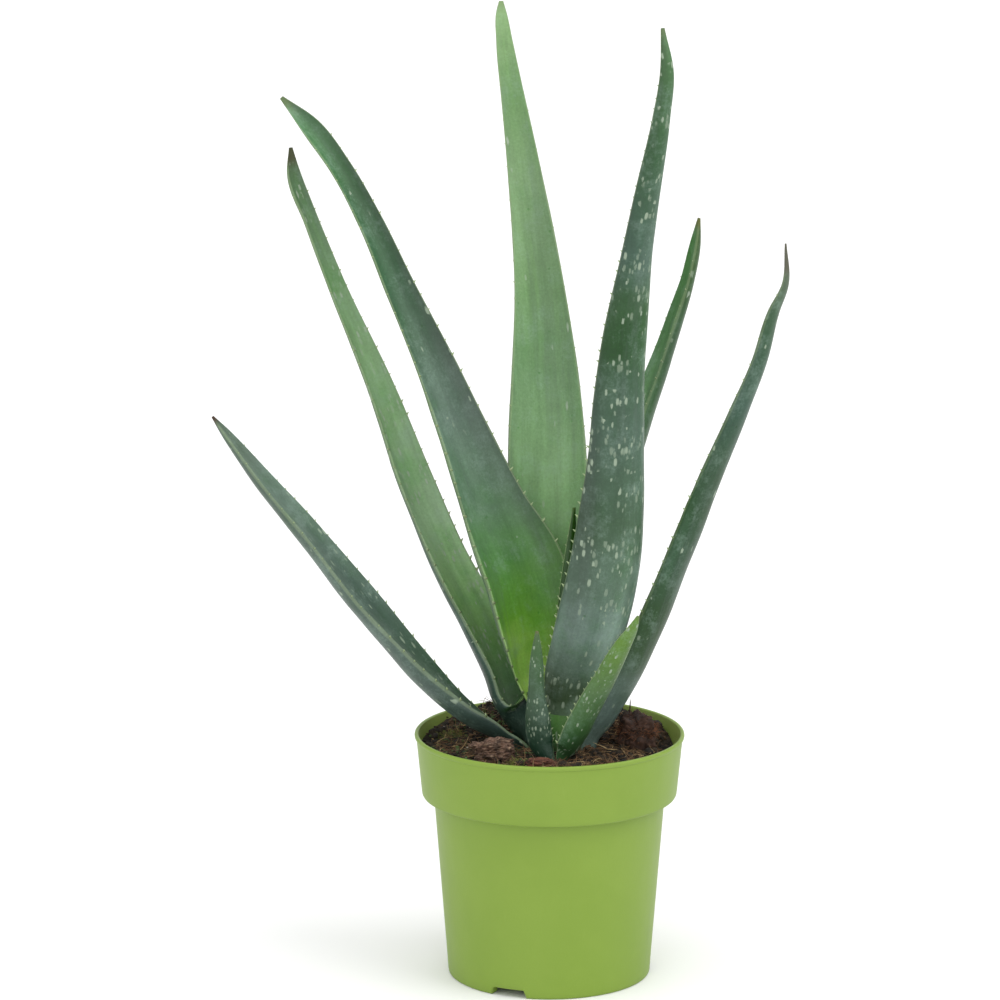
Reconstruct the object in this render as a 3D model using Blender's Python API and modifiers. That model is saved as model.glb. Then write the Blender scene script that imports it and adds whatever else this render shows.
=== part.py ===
# A potted aloe plant: a ribless plastic nursery pot, filled with peaty soil, holding one
# rosette of eight thick leaves and one small two-leaved offset, with loose bark, peat and
# moss on the soil. Metres, +Z up, origin on the pot's axis at the plane it stands on.
import math

import bpy
import bmesh
from mathutils import Matrix, Vector

# ---- driving dimensions (metres) ----
POT_HEIGHT = 0.1100
RIM_RADIUS = 0.0600
COLLAR_TOP_RADIUS = 0.0592
COLLAR_LOW_RADIUS = 0.0567
COLLAR_LOW_Z = 0.0818
BODY_TOP_RADIUS = 0.0514
BODY_LOW_RADIUS = 0.0453
FOOT_RADIUS = 0.0447
FOOT_INNER_RADIUS = 0.0412
FLOOR_UNDER_Z = 0.0038
FLOOR_THICK = 0.0014
PAD_RADIUS = 0.0080
WALL = 0.0011
GAP = 0.0003

NOTCH_WIDTH_TOP = 0.0150
NOTCH_WIDTH_LOW = 0.0170
NOTCH_HEIGHT = 0.0036
NOTCH_COUNT = 3
FIRST_NOTCH_DEG = -114.0
DRAIN_RADIUS = 0.0035
DRAIN_CIRCLE = 0.0280
DRAIN_COUNT = 6

SOIL_LEVEL = 0.1040
STEM_X = 0.0065
STEM_Y = 0.0
STEM_RADIUS = 0.0095
STEM_LOW_Z = 0.0800
STEM_TOP_Z = 0.0978
LEAF_ROOT_Z = 0.0985
POCKET_FLOOR_Z = 0.0975
POCKET_RADIUS = 0.0215
OFFSET_X = 0.0015
OFFSET_Y = -0.0255
OFFSET_POCKET_RADIUS = 0.0076

TURN_STEPS = 56
LEAF_STATIONS = 17
LEAF_EDGE = 0.0008

# ---- the leaves ----
# root: (azimuth from the stem in degrees, inner radius, half angle of the clasping foot)
# path: (x, y, z, half width) along the middle of the leaf's upper side, root to tip
# faces: azimuth the upper side looks to, at the foot, half way and at the tip
# bend: half angle of the channelled section, above the foot, half way and at the tip
LEAVES = {
    "leaf_low_left": {
        "root": (190, 0.0188, 34),
        "thick": 0.0062,
        "faces": (10, -16, -14),
        "bend": (40, 38, 30),
        "path": (
            (-0.0215, -0.0035, 0.1090, 0.0106),
            (-0.0355, -0.0025, 0.1188, 0.0116),
            (-0.0526, -0.0010, 0.1345, 0.0120),
            (-0.0722, 0.0000, 0.1570, 0.0108),
            (-0.0905, 0.0000, 0.1795, 0.0097),
            (-0.1085, 0.0000, 0.2030, 0.0081),
            (-0.1255, 0.0000, 0.2235, 0.0064),
            (-0.1425, 0.0000, 0.2460, 0.0026),
            (-0.1480, 0.0000, 0.2530, 0.0006),
        ),
    },
    "leaf_left": {
        "root": (165, 0.0159, 108),
        "thick": 0.0068,
        "faces": (-15, -60, -56),
        "bend": (68, 42, 30),
        "across": 13,
        "path": (
            (-0.0170, 0.0110, 0.1220, 0.0186),
            (-0.0246, 0.0165, 0.1345, 0.0154),
            (-0.0354, 0.0245, 0.1555, 0.0142),
            (-0.0472, 0.0325, 0.1815, 0.0118),
            (-0.0593, 0.0390, 0.2120, 0.0089),
            (-0.0762, 0.0475, 0.2575, 0.0064),
            (-0.0948, 0.0590, 0.2995, 0.0042),
            (-0.1064, 0.0655, 0.3285, 0.0034),
            (-0.1146, 0.0700, 0.3505, 0.0030),
            (-0.1157, 0.0700, 0.3615, 0.0007),
        ),
    },
    "leaf_left_centre": {
        "root": (145, 0.0055, 85),
        "thick": 0.0060,
        "faces": (-35, -60, -52),
        "bend": (60, 36, 28),
        "path": (
            (-0.0040, 0.0078, 0.1370, 0.0140),
            (-0.0078, 0.0100, 0.1550, 0.0186),
            (-0.0146, 0.0147, 0.1790, 0.0204),
            (-0.0262, 0.0215, 0.2065, 0.0169),
            (-0.0382, 0.0310, 0.2360, 0.0128),
            (-0.0508, 0.0385, 0.2665, 0.0100),
            (-0.0668, 0.0470, 0.3010, 0.0075),
            (-0.0806, 0.0530, 0.3315, 0.0060),
            (-0.0930, 0.0585, 0.3535, 0.0053),
            (-0.1062, 0.0645, 0.3710, 0.0047),
            (-0.1195, 0.0670, 0.3845, 0.0007),
        ),
    },
    "leaf_back": {
        "root": (98, 0.0078, 80),
        "thick": 0.0070,
        "faces": (-82, -88, -82),
        "bend": (46, 26, 24),
        "path": (
            (0.0025, 0.0150, 0.1310, 0.0140),
            (0.0010, 0.0260, 0.1640, 0.0175),
            (-0.0005, 0.0360, 0.1990, 0.0183),
            (-0.0012, 0.0450, 0.2295, 0.0178),
            (-0.0018, 0.0545, 0.2590, 0.0153),
            (-0.0039, 0.0655, 0.2930, 0.0117),
            (-0.0118, 0.0910, 0.3525, 0.0071),
            (-0.0167, 0.1030, 0.3830, 0.0049),
            (-0.0201, 0.1120, 0.4045, 0.0034),
            (-0.0214, 0.1165, 0.4165, 0.0021),
            (-0.0215, 0.1180, 0.4215, 0.0007),
        ),
    },
    "leaf_front": {
        "root": (-55, 0.0102, 54),
        "thick": 0.0075,
        "faces": (125, 116, 112),
        "bend": (58, 34, 26),
        "path": (
            (0.0140, -0.0090, 0.1320, 0.0172),
            (0.0203, -0.0150, 0.1560, 0.0198),
            (0.0254, -0.0195, 0.1845, 0.0188),
            (0.0281, -0.0240, 0.2125, 0.0166),
            (0.0297, -0.0275, 0.2400, 0.0139),
            (0.0303, -0.0310, 0.2670, 0.0121),
            (0.0322, -0.0355, 0.2940, 0.0104),
            (0.0365, -0.0425, 0.3300, 0.0072),
            (0.0411, -0.0505, 0.3615, 0.0055),
            (0.0460, -0.0600, 0.3930, 0.0038),
            (0.0480, -0.0660, 0.4145, 0.0027),
            (0.0462, -0.0635, 0.4320, 0.0006),
        ),
    },
    "leaf_right_centre": {
        "root": (15, 0.0032, 80),
        "thick": 0.0055,
        "faces": (195, 195, 195),
        "bend": (55, 38, 30),
        "path": (
            (0.0125, 0.0020, 0.1500, 0.0075),
            (0.0187, 0.0045, 0.1825, 0.0094),
            (0.0266, 0.0070, 0.2090, 0.0097),
            (0.0355, 0.0090, 0.2360, 0.0092),
            (0.0424, 0.0105, 0.2580, 0.0083),
            (0.0483, 0.0110, 0.2750, 0.0073),
            (0.0544, 0.0130, 0.2935, 0.0062),
            (0.0600, 0.0145, 0.3110, 0.0051),
            (0.0632, 0.0155, 0.3265, 0.0039),
            (0.0650, 0.0155, 0.3385, 0.0008),
        ),
    },
    "leaf_right": {
        "root": (-5, 0.0127, 52),
        "thick": 0.0064,
        "faces": (175, 155, 160),
        "bend": (46, 38, 28),
        "path": (
            (0.0255, -0.0010, 0.1165, 0.0130),
            (0.0322, -0.0015, 0.1305, 0.0134),
            (0.0417, -0.0020, 0.1530, 0.0126),
            (0.0520, -0.0035, 0.1785, 0.0110),
            (0.0616, -0.0050, 0.2035, 0.0097),
            (0.0720, -0.0065, 0.2310, 0.0084),
            (0.0824, -0.0080, 0.2570, 0.0070),
            (0.0911, -0.0090, 0.2805, 0.0055),
            (0.0968, -0.0095, 0.3015, 0.0043),
            (0.1016, -0.0100, 0.3135, 0.0026),
            (0.1017, -0.0100, 0.3315, 0.0005),
        ),
    },
    "leaf_heart": {
        "root": (-60, 0.0009, 70),
        "thick": 0.0030,
        "faces": (120, 120, 120),
        "bend": (50, 40, 30),
        "path": (
            (0.0060, -0.0030, 0.1250, 0.0026),
            (0.0060, -0.0060, 0.1500, 0.0038),
            (0.0080, -0.0080, 0.1780, 0.0036),
            (0.0105, -0.0085, 0.2140, 0.0005),
        ),
    },
}
OFFSET_LEAVES = {
    "offset_leaf_left": {
        "root": (228, 0.0042, 46),
        "thick": 0.0038,
        "faces": (48, 72, 80),
        "bend": (52, 48, 40),
        "path": (
            (-0.0050, -0.0275, 0.1120, 0.0064),
            (-0.0057, -0.0275, 0.1220, 0.0055),
            (-0.0061, -0.0278, 0.1360, 0.0033),
            (-0.0060, -0.0288, 0.1500, 0.0025),
            (-0.0059, -0.0294, 0.1575, 0.0015),
            (-0.0058, -0.0300, 0.1635, 0.0004),
        ),
    },
    "offset_leaf_right": {
        "root": (-27, 0.0042, 48),
        "thick": 0.0044,
        "faces": (153, 122, 112),
        "bend": (52, 44, 34),
        "path": (
            (0.0092, -0.0280, 0.1100, 0.0078),
            (0.0118, -0.0290, 0.1172, 0.0076),
            (0.0165, -0.0310, 0.1280, 0.0065),
            (0.0236, -0.0350, 0.1425, 0.0053),
            (0.0314, -0.0400, 0.1595, 0.0036),
            (0.0361, -0.0432, 0.1690, 0.0017),
            (0.0380, -0.0444, 0.1738, 0.0004),
        ),
    },
}

# ---- loose pieces on the soil: (x, y, length, width, height, turn in degrees) ----
BARK_CHUNK = (-0.0250, -0.0270, 0.0230, 0.0110, 0.0070, 12.0)
BARK_CHIP = (-0.0040, -0.0390, 0.0110, 0.0050, 0.0030, -8.0)
PEAT_CLUMP = (0.0385, 0.0000, 0.0150, 0.0150, 0.0105, 20.0)
MOSS_LEFT = (-0.0440, 0.0120, 0.0100, 0.0080, 0.0040, 40.0)
MOSS_FRONT = (-0.0165, -0.0385, 0.0080, 0.0055, 0.0030, 10.0)


def clear_scene():
    for item in list(bpy.data.objects):
        bpy.data.objects.remove(item, do_unlink=True)


def new_collection(name):
    collection = bpy.data.collections.new(name)
    bpy.context.scene.collection.children.link(collection)
    return collection


def material(name, colour, roughness):
    made = bpy.data.materials.new(name)
    made.use_nodes = True
    shader = made.node_tree.nodes["Principled BSDF"]
    shader.inputs["Base Color"].default_value = (*colour, 1.0)
    shader.inputs["Roughness"].default_value = roughness
    return made


def add_object(name, mesh, collection, surface=None):
    made = bpy.data.objects.new(name, mesh)
    if surface is not None:
        mesh.materials.append(surface)
    collection.objects.link(made)
    return made


def shade_smooth(mesh):
    for face in mesh.polygons:
        face.use_smooth = True


def turned(name, profile, collection, surface, steps=TURN_STEPS):
    """A solid of revolution about +Z; the profile lies at +X and runs down its outer side."""
    mesh = bpy.data.meshes.new(name)
    points = [(x, 0.0, z) for x, z in profile]
    edges = [(i, i + 1) for i in range(len(points) - 1)]
    mesh.from_pydata(points, edges, [])
    made = add_object(name, mesh, collection, surface)
    screw = made.modifiers.new("turn", "SCREW")
    screw.axis = "Z"
    screw.steps = steps
    screw.render_steps = steps
    screw.use_merge_vertices = True
    screw.merge_threshold = 0.00005
    screw.use_smooth_shade = True
    return made


def applied_mesh(item):
    """The object's finished mesh, with its modifiers worked in."""
    bpy.context.view_layer.update()
    graph = bpy.context.evaluated_depsgraph_get()
    return bpy.data.meshes.new_from_object(item.evaluated_get(graph))


def subtract(item, cutter, solver="EXACT"):
    cut = item.modifiers.new("cut_" + cutter.name, "BOOLEAN")
    cut.operation = "DIFFERENCE"
    cut.solver = solver
    cut.object = cutter


def hide_cutter(cutter):
    cutter.hide_render = True
    cutter.display_type = "WIRE"


# ---- pot ----
def pot_profile():
    body_in = BODY_TOP_RADIUS - WALL
    low_in = BODY_LOW_RADIUS - WALL
    floor_z = FLOOR_UNDER_Z + FLOOR_THICK
    inside = [
        (0.0, floor_z),
        (low_in - 0.0030, floor_z),
        (low_in - 0.0006, floor_z + 0.0008),
        (low_in + 0.0002, floor_z + 0.0030),
        (body_in, COLLAR_LOW_Z - 0.0012),
        (body_in + 0.0006, COLLAR_LOW_Z + 0.0012),
        (COLLAR_LOW_RADIUS - WALL - 0.0012, COLLAR_LOW_Z + 0.0012),
        (COLLAR_LOW_RADIUS - WALL, COLLAR_LOW_Z + 0.0026),
        (COLLAR_TOP_RADIUS - WALL, POT_HEIGHT - 0.0012),
    ]
    rim = [
        (COLLAR_TOP_RADIUS - 0.0007, POT_HEIGHT - 0.0002),
        (COLLAR_TOP_RADIUS, POT_HEIGHT),
        (RIM_RADIUS - 0.0002, POT_HEIGHT - 0.0003),
        (RIM_RADIUS, POT_HEIGHT - 0.0009),
        (RIM_RADIUS - 0.0001, POT_HEIGHT - 0.0018),
        (COLLAR_TOP_RADIUS, POT_HEIGHT - 0.0024),
    ]
    outside = [
        (COLLAR_LOW_RADIUS + 0.0001, COLLAR_LOW_Z + 0.0014),
        (COLLAR_LOW_RADIUS - 0.0002, COLLAR_LOW_Z + 0.0004),
        (COLLAR_LOW_RADIUS - 0.0009, COLLAR_LOW_Z),
        (BODY_TOP_RADIUS + 0.0004, COLLAR_LOW_Z),
        (BODY_TOP_RADIUS, COLLAR_LOW_Z - 0.0005),
        (BODY_LOW_RADIUS + 0.0001, 0.0040),
        (BODY_LOW_RADIUS - 0.0001, 0.0012),
        (FOOT_RADIUS + 0.0002, 0.0002),
        (FOOT_RADIUS, 0.0),
        (FOOT_INNER_RADIUS, 0.0),
        (FOOT_INNER_RADIUS - 0.0003, FLOOR_UNDER_Z),
        (PAD_RADIUS + 0.0003, FLOOR_UNDER_Z),
        (PAD_RADIUS, 0.0),
        (0.0, 0.0),
    ]
    return inside + rim + outside


def notch_wedge(bm, angle):
    """A block that is narrower at its top, set across the foot ring."""
    made = bmesh.ops.create_cube(bm, size=1.0)
    for vert in made["verts"]:
        width = NOTCH_WIDTH_TOP if vert.co.z > 0 else NOTCH_WIDTH_LOW
        height = NOTCH_HEIGHT if vert.co.z > 0 else -0.004
        vert.co = Vector((FOOT_RADIUS + vert.co.x * 0.012, vert.co.y * width, height))
    bmesh.ops.rotate(bm, verts=made["verts"], cent=(0, 0, 0), matrix=Matrix.Rotation(angle, 3, "Z"))


def make_pot(parts, cutters):
    pot = turned("pot", pot_profile(), parts, material("pot_plastic", (0.25, 0.38, 0.08), 0.45))
    bm = bmesh.new()
    for index in range(NOTCH_COUNT):
        notch_wedge(bm, math.radians(FIRST_NOTCH_DEG + 360.0 * index / NOTCH_COUNT))
    for index in range(DRAIN_COUNT):
        angle = math.radians(30.0 + 360.0 * index / DRAIN_COUNT)
        place = Matrix.Translation((DRAIN_CIRCLE * math.cos(angle), DRAIN_CIRCLE * math.sin(angle), 0.005))
        bmesh.ops.create_cone(bm, cap_ends=True, segments=16, radius1=DRAIN_RADIUS,
                              radius2=DRAIN_RADIUS, depth=0.012, matrix=place)
    mesh = bpy.data.meshes.new("foot_cutter")
    bm.to_mesh(mesh)
    bm.free()
    cutter = add_object("foot_cutter", mesh, cutters)
    hide_cutter(cutter)
    subtract(pot, cutter)
    return pot


# ---- soil and stem ----
def hump(x, y, centre_x, centre_y, spread):
    return math.exp(-((x - centre_x) ** 2 + (y - centre_y) ** 2) / (2.0 * spread * spread))


def soil_height(x, y):
    """Height of the soil's surface: a mound behind on the left and right, a dip at the right wall."""
    height = SOIL_LEVEL
    height += 0.0085 * hump(x, y, -0.024, 0.032, 0.014)
    height += 0.0060 * hump(x, y, 0.030, 0.034, 0.013)
    height -= 0.0060 * hump(x, y, 0.054, 0.004, 0.009)
    height -= 0.0022 * hump(x, y, -0.020, 0.000, 0.008)
    height += 0.0006 * math.sin(x * 410.0 + 1.0) * math.cos(y * 370.0)
    return height


def collar_inner_radius(z):
    """Radius of the pot's inner wall at a height inside the collar."""
    low_z = COLLAR_LOW_Z + 0.0026
    share = (z - low_z) / (POT_HEIGHT - 0.0012 - low_z)
    return COLLAR_LOW_RADIUS - WALL + share * (COLLAR_TOP_RADIUS - COLLAR_LOW_RADIUS)


def shape_soil_top(mesh):
    """Moves the flat top's corners to the soil's height, still clear of the tapering wall."""
    for vert in mesh.vertices:
        if abs(vert.co.z - SOIL_LEVEL) > 0.0001:
            continue
        vert.co.z = soil_height(vert.co.x, vert.co.y)
        radius = math.hypot(vert.co.x, vert.co.y)
        limit = collar_inner_radius(vert.co.z) - 0.0005
        if radius > limit:
            vert.co.x *= limit / radius
            vert.co.y *= limit / radius


def soil_profile():
    radii = [0.0, 0.009, 0.018, 0.0265, 0.033, 0.0395, 0.046, 0.052, 0.0573]
    top = [(r, SOIL_LEVEL) for r in radii]
    body_in = BODY_TOP_RADIUS - WALL
    low_in = BODY_LOW_RADIUS - WALL
    floor_z = FLOOR_UNDER_Z + FLOOR_THICK + GAP
    side = [
        (COLLAR_LOW_RADIUS - WALL - 0.0006, COLLAR_LOW_Z + 0.0030),
        (COLLAR_LOW_RADIUS - WALL - 0.0016, COLLAR_LOW_Z + 0.0017),
        (body_in + 0.0004, COLLAR_LOW_Z + 0.0017),
        (body_in - 0.0006, COLLAR_LOW_Z - 0.0002),
        (low_in - 0.0004, floor_z + 0.0034),
        (low_in - 0.0012, floor_z + 0.0008),
        (low_in - 0.0034, floor_z),
        (0.0, floor_z),
    ]
    return top + side


def pocket(bm, x, y, radius, floor_z, segments):
    place = Matrix.Translation((x, y, floor_z + 0.02))
    bmesh.ops.create_cone(bm, cap_ends=True, segments=segments, radius1=radius,
                          radius2=radius, depth=0.04, matrix=place)


def pocket_cutter(name, x, y, radius, floor_z, segments, cutters):
    bm = bmesh.new()
    pocket(bm, x, y, radius, floor_z, segments)
    mesh = bpy.data.meshes.new(name)
    bm.to_mesh(mesh)
    bm.free()
    cutter = add_object(name, mesh, cutters)
    hide_cutter(cutter)
    return cutter


def make_soil(parts, cutters):
    soil = turned("soil", soil_profile(), parts, None)
    shaped = applied_mesh(soil)
    soil.modifiers.clear()
    soil.data = shaped
    shape_soil_top(shaped)
    shaped.materials.append(material("soil_peat", (0.045, 0.027, 0.016), 0.95))
    shade_smooth(shaped)
    subtract(soil, pocket_cutter("rosette_pocket", STEM_X, STEM_Y, POCKET_RADIUS,
                                 POCKET_FLOOR_Z, 40, cutters))
    subtract(soil, pocket_cutter("offset_pocket", OFFSET_X, OFFSET_Y, OFFSET_POCKET_RADIUS,
                                 POCKET_FLOOR_Z - GAP, 24, cutters))
    subtract(soil, pocket_cutter("stem_pocket", STEM_X, STEM_Y, STEM_RADIUS + 2 * GAP,
                                 STEM_LOW_Z - GAP, 32, cutters))
    return soil


def make_stem(parts):
    profile = [
        (0.0, STEM_TOP_Z),
        (STEM_RADIUS - 0.0012, STEM_TOP_Z),
        (STEM_RADIUS, STEM_TOP_Z - 0.0015),
        (STEM_RADIUS - 0.0008, STEM_LOW_Z + 0.0080),
        (STEM_RADIUS - 0.0030, STEM_LOW_Z + 0.0010),
        (STEM_RADIUS - 0.0045, STEM_LOW_Z),
        (0.0, STEM_LOW_Z),
    ]
    stem = turned("stem", profile, parts, material("stem_flesh", (0.30, 0.33, 0.15), 0.7), steps=24)
    stem.location = (STEM_X, STEM_Y, 0.0)
    return stem


# ---- leaves ----
def curve_knots(points):
    """Distance along the points, from 0 to 1."""
    knots = [0.0]
    for a, b in zip(points, points[1:]):
        knots.append(knots[-1] + (Vector(b[:3]) - Vector(a[:3])).length)
    return [knot / knots[-1] for knot in knots]


def knot_slopes(points, knots):
    """The curve's direction at each point, weighted towards the nearer neighbour."""
    steps = []
    for index in range(len(points) - 1):
        width = knots[index + 1] - knots[index]
        steps.append([(b - a) / width for a, b in zip(points[index], points[index + 1])])
    slopes = [steps[0]]
    for index in range(1, len(points) - 1):
        before = knots[index] - knots[index - 1]
        after = knots[index + 1] - knots[index]
        slopes.append([(p * after + q * before) / (before + after)
                       for p, q in zip(steps[index - 1], steps[index])])
    slopes.append(steps[-1])
    return slopes


def smooth_point(points, knots, slopes, at):
    """A value on the smooth curve through the points; at runs from 0 to 1."""
    at = min(max(at, 0.0), 1.0)
    index = 0
    while index < len(points) - 2 and at > knots[index + 1]:
        index += 1
    width = knots[index + 1] - knots[index]
    t = (at - knots[index]) / width
    start = 2 * t ** 3 - 3 * t ** 2 + 1
    end = 1 - start
    lead = (t ** 3 - 2 * t ** 2 + t) * width
    trail = (t ** 3 - t ** 2) * width
    return [start * a + end * b + lead * p + trail * q
            for a, b, p, q in zip(points[index], points[index + 1], slopes[index], slopes[index + 1])]


def blend3(values, at):
    """Three values met at 0, 0.5 and 1."""
    if at < 0.5:
        return values[0] + (values[1] - values[0]) * at * 2.0
    return values[1] + (values[2] - values[1]) * (at - 0.5) * 2.0


def leaf_controls(spec, axis):
    """(x, y, z, half width, thickness, half angle) at the foot and along the path."""
    azimuth, radius, half_angle = spec["root"]
    out = Vector((math.cos(math.radians(azimuth)), math.sin(math.radians(azimuth)), 0.0))
    foot = Vector((axis[0], axis[1], LEAF_ROOT_Z)) + out * radius
    foot_width = radius * math.radians(half_angle)
    foot_thick = spec.get("foot_thick", 0.0018)
    widest = max(point[3] for point in spec["path"])
    last = len(spec["path"]) - 1
    controls = []
    for rise in spec.get("sheath", (0.0, 0.0030, 0.0060)):
        controls.append((foot.x, foot.y, foot.z + rise, foot_width, foot_thick, half_angle))
    for index, (x, y, z, half) in enumerate(spec["path"]):
        grown = min(1.0, 0.55 + index / last * 2.2)
        thick = spec["thick"] * grown * (half / widest) ** 0.75
        controls.append((x, y, z, half, thick, blend3(spec["bend"], index / last)))
    return controls


def leaf_rings(spec, axis):
    """Cross-sections from foot to tip: a channelled upper side and a rounded under side."""
    controls = leaf_controls(spec, axis)
    knots = curve_knots(controls)
    slopes = knot_slopes(controls, knots)
    across = spec.get("across", 9)
    rings = []
    for station in range(LEAF_STATIONS + 1):
        even = station / LEAF_STATIONS
        at = 0.5 * even + 0.25 * (1.0 - math.cos(math.pi * even))
        x, y, z, half, thick, bend = smooth_point(controls, knots, slopes, at)
        before = Vector(smooth_point(controls, knots, slopes, at - 0.004)[:3])
        after = Vector(smooth_point(controls, knots, slopes, at + 0.004)[:3])
        along = (after - before).normalized()
        face = math.radians(blend3(spec["faces"], at))
        upper = Vector((math.cos(face), math.sin(face), 0.0))
        upper = (upper - along * upper.dot(along)).normalized()
        side = along.cross(upper)
        half = max(half, 0.0004)
        radius = half / math.radians(bend)
        middle = Vector((x, y, z))
        top = []
        under = []
        for step in range(across):
            share = 2.0 * step / (across - 1) - 1.0
            angle = share * math.radians(bend)
            inward = upper * math.cos(angle) - side * math.sin(angle)
            point = middle + upper * radius - inward * radius
            edge = min(LEAF_EDGE, 0.45 * thick)
            depth = edge + (thick - edge) * math.sqrt(max(0.0, 1.0 - share * share))
            top.append(point)
            under.append(point - inward * depth)
        rings.append(top + under[::-1])
    return rings


def loft(name, rings):
    """One closed skin through the rings, with flat ends."""
    bm = bmesh.new()
    made = [[bm.verts.new(point) for point in ring] for ring in rings]
    count = len(rings[0])
    for low, high in zip(made, made[1:]):
        for index in range(count):
            after = (index + 1) % count
            bm.faces.new((low[index], low[after], high[after], high[index]))
    bm.faces.new(made[0][::-1])
    bm.faces.new(made[-1])
    bmesh.ops.triangulate(bm, faces=[face for face in bm.faces if len(face.verts) > 4])
    bmesh.ops.recalc_face_normals(bm, faces=bm.faces)
    mesh = bpy.data.meshes.new(name)
    bm.to_mesh(mesh)
    bm.free()
    shade_smooth(mesh)
    return mesh


def make_leaf(name, spec, axis, colour, parts):
    mesh = loft(name, leaf_rings(spec, axis))
    return add_object(name, mesh, parts, material(name + "_flesh", colour, 0.5))


def make_leaves(parts):
    for name, spec in LEAVES.items():
        make_leaf(name, spec, (STEM_X, STEM_Y), (0.16, 0.27, 0.12), parts)
    for name, spec in OFFSET_LEAVES.items():
        make_leaf(name, spec, (OFFSET_X, OFFSET_Y), (0.17, 0.30, 0.10), parts)


# ---- loose pieces on the soil ----
def lump(name, spec, colour, parts, seed):
    """A coarse cage, smoothed, with its under side kept just clear of the soil."""
    x, y, length, width, height, turn = spec
    bm = bmesh.new()
    bmesh.ops.create_cube(bm, size=1.0)
    bmesh.ops.subdivide_edges(bm, edges=bm.edges[:], cuts=2, use_grid_fill=True)
    for index, vert in enumerate(bm.verts):
        wave = 1.0 + 0.16 * math.sin(index * 2.399 + seed)
        vert.co = Vector((vert.co.x * length * wave, vert.co.y * width * wave,
                          (vert.co.z + 0.5) * height * wave))
    mesh = bpy.data.meshes.new(name)
    bm.to_mesh(mesh)
    bm.free()
    made = add_object(name, mesh, parts, material(name + "_matter", colour, 0.9))
    smooth = made.modifiers.new("soften", "SUBSURF")
    smooth.levels = 1
    smooth.render_levels = 1
    shaped = applied_mesh(made)
    made.modifiers.clear()
    made.data = shaped
    spin = Matrix.Rotation(math.radians(turn), 3, "Z")
    for vert in shaped.vertices:
        place = spin @ vert.co
        ground = soil_height(x + place.x, y + place.y)
        vert.co = Vector((x + place.x, y + place.y, ground + 0.0009 + max(place.z, 0.0)))
    shade_smooth(shaped)
    return made


def make_root_fibre(parts):
    """A thin root standing out of the peat clump's back."""
    curve = bpy.data.curves.new("root_fibre", "CURVE")
    curve.dimensions = "3D"
    curve.bevel_depth = 0.0005
    curve.bevel_resolution = 1
    curve.use_fill_caps = True
    line = curve.splines.new("POLY")
    points = ((0.0240, 0.0275, 0.1112), (0.0275, 0.0240, 0.1165), (0.0325, 0.0225, 0.1190),
              (0.0365, 0.0225, 0.1215))
    line.points.add(len(points) - 1)
    for point, place in zip(line.points, points):
        point.co = (*place, 1.0)
    holder = add_object("root_fibre_curve", curve, parts)
    mesh = applied_mesh(holder)
    bm = bmesh.new()
    bm.from_mesh(mesh)
    bmesh.ops.remove_doubles(bm, verts=bm.verts, dist=0.00002)
    bmesh.ops.recalc_face_normals(bm, faces=bm.faces)
    bm.to_mesh(mesh)
    bm.free()
    bpy.data.objects.remove(holder, do_unlink=True)
    shade_smooth(mesh)
    return add_object("root_fibre", mesh, parts, material("root_fibre_matter", (0.25, 0.14, 0.07), 0.8))


def make_loose_pieces(parts):
    lump("bark_chunk", BARK_CHUNK, (0.10, 0.055, 0.03), parts, 0.3)
    lump("bark_chip", BARK_CHIP, (0.16, 0.06, 0.03), parts, 1.1)
    lump("peat_clump", PEAT_CLUMP, (0.12, 0.05, 0.02), parts, 2.0)
    lump("moss_tuft_left", MOSS_LEFT, (0.16, 0.20, 0.04), parts, 2.9)
    lump("moss_tuft_front", MOSS_FRONT, (0.22, 0.24, 0.05), parts, 3.7)
    make_root_fibre(parts)


def main():
    clear_scene()
    parts = new_collection("potted_aloe_plant")
    cutters = new_collection("cutters")
    make_pot(parts, cutters)
    make_soil(parts, cutters)
    make_stem(parts)
    make_leaves(parts)
    make_loose_pieces(parts)


main()
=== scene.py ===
import math
import random

import bpy
import bmesh
from mathutils import Matrix, Vector, noise


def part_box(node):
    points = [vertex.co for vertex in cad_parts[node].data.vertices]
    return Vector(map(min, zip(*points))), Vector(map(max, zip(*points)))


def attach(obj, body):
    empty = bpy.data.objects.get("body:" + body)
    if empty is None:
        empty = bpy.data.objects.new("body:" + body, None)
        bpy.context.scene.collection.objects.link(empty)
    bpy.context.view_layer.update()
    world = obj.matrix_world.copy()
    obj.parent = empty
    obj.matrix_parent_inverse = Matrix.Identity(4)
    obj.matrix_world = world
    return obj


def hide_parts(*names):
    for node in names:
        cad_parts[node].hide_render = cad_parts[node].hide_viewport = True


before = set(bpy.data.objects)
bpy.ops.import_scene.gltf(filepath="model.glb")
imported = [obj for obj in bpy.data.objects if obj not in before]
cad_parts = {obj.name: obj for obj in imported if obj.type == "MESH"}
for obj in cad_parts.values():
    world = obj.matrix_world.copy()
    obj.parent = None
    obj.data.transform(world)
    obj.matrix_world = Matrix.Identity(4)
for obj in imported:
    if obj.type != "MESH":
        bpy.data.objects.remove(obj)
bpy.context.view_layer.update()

# ---- where things are (metres) ----
POT_LOW, POT_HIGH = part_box("pot")
STEM_LOW, STEM_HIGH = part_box("stem")
POT_HEIGHT = POT_HIGH[2]
STEM_X = (STEM_LOW[0] + STEM_HIGH[0]) / 2.0
STEM_Y = (STEM_LOW[1] + STEM_HIGH[1]) / 2.0
OFFSET_X = 0.0015
OFFSET_Y = -0.0255
LEAF_ROOT_Z = 0.0985
SOIL_LEVEL = 0.1040
FLOOR_Z = POT_LOW[2] - 0.0002

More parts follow.
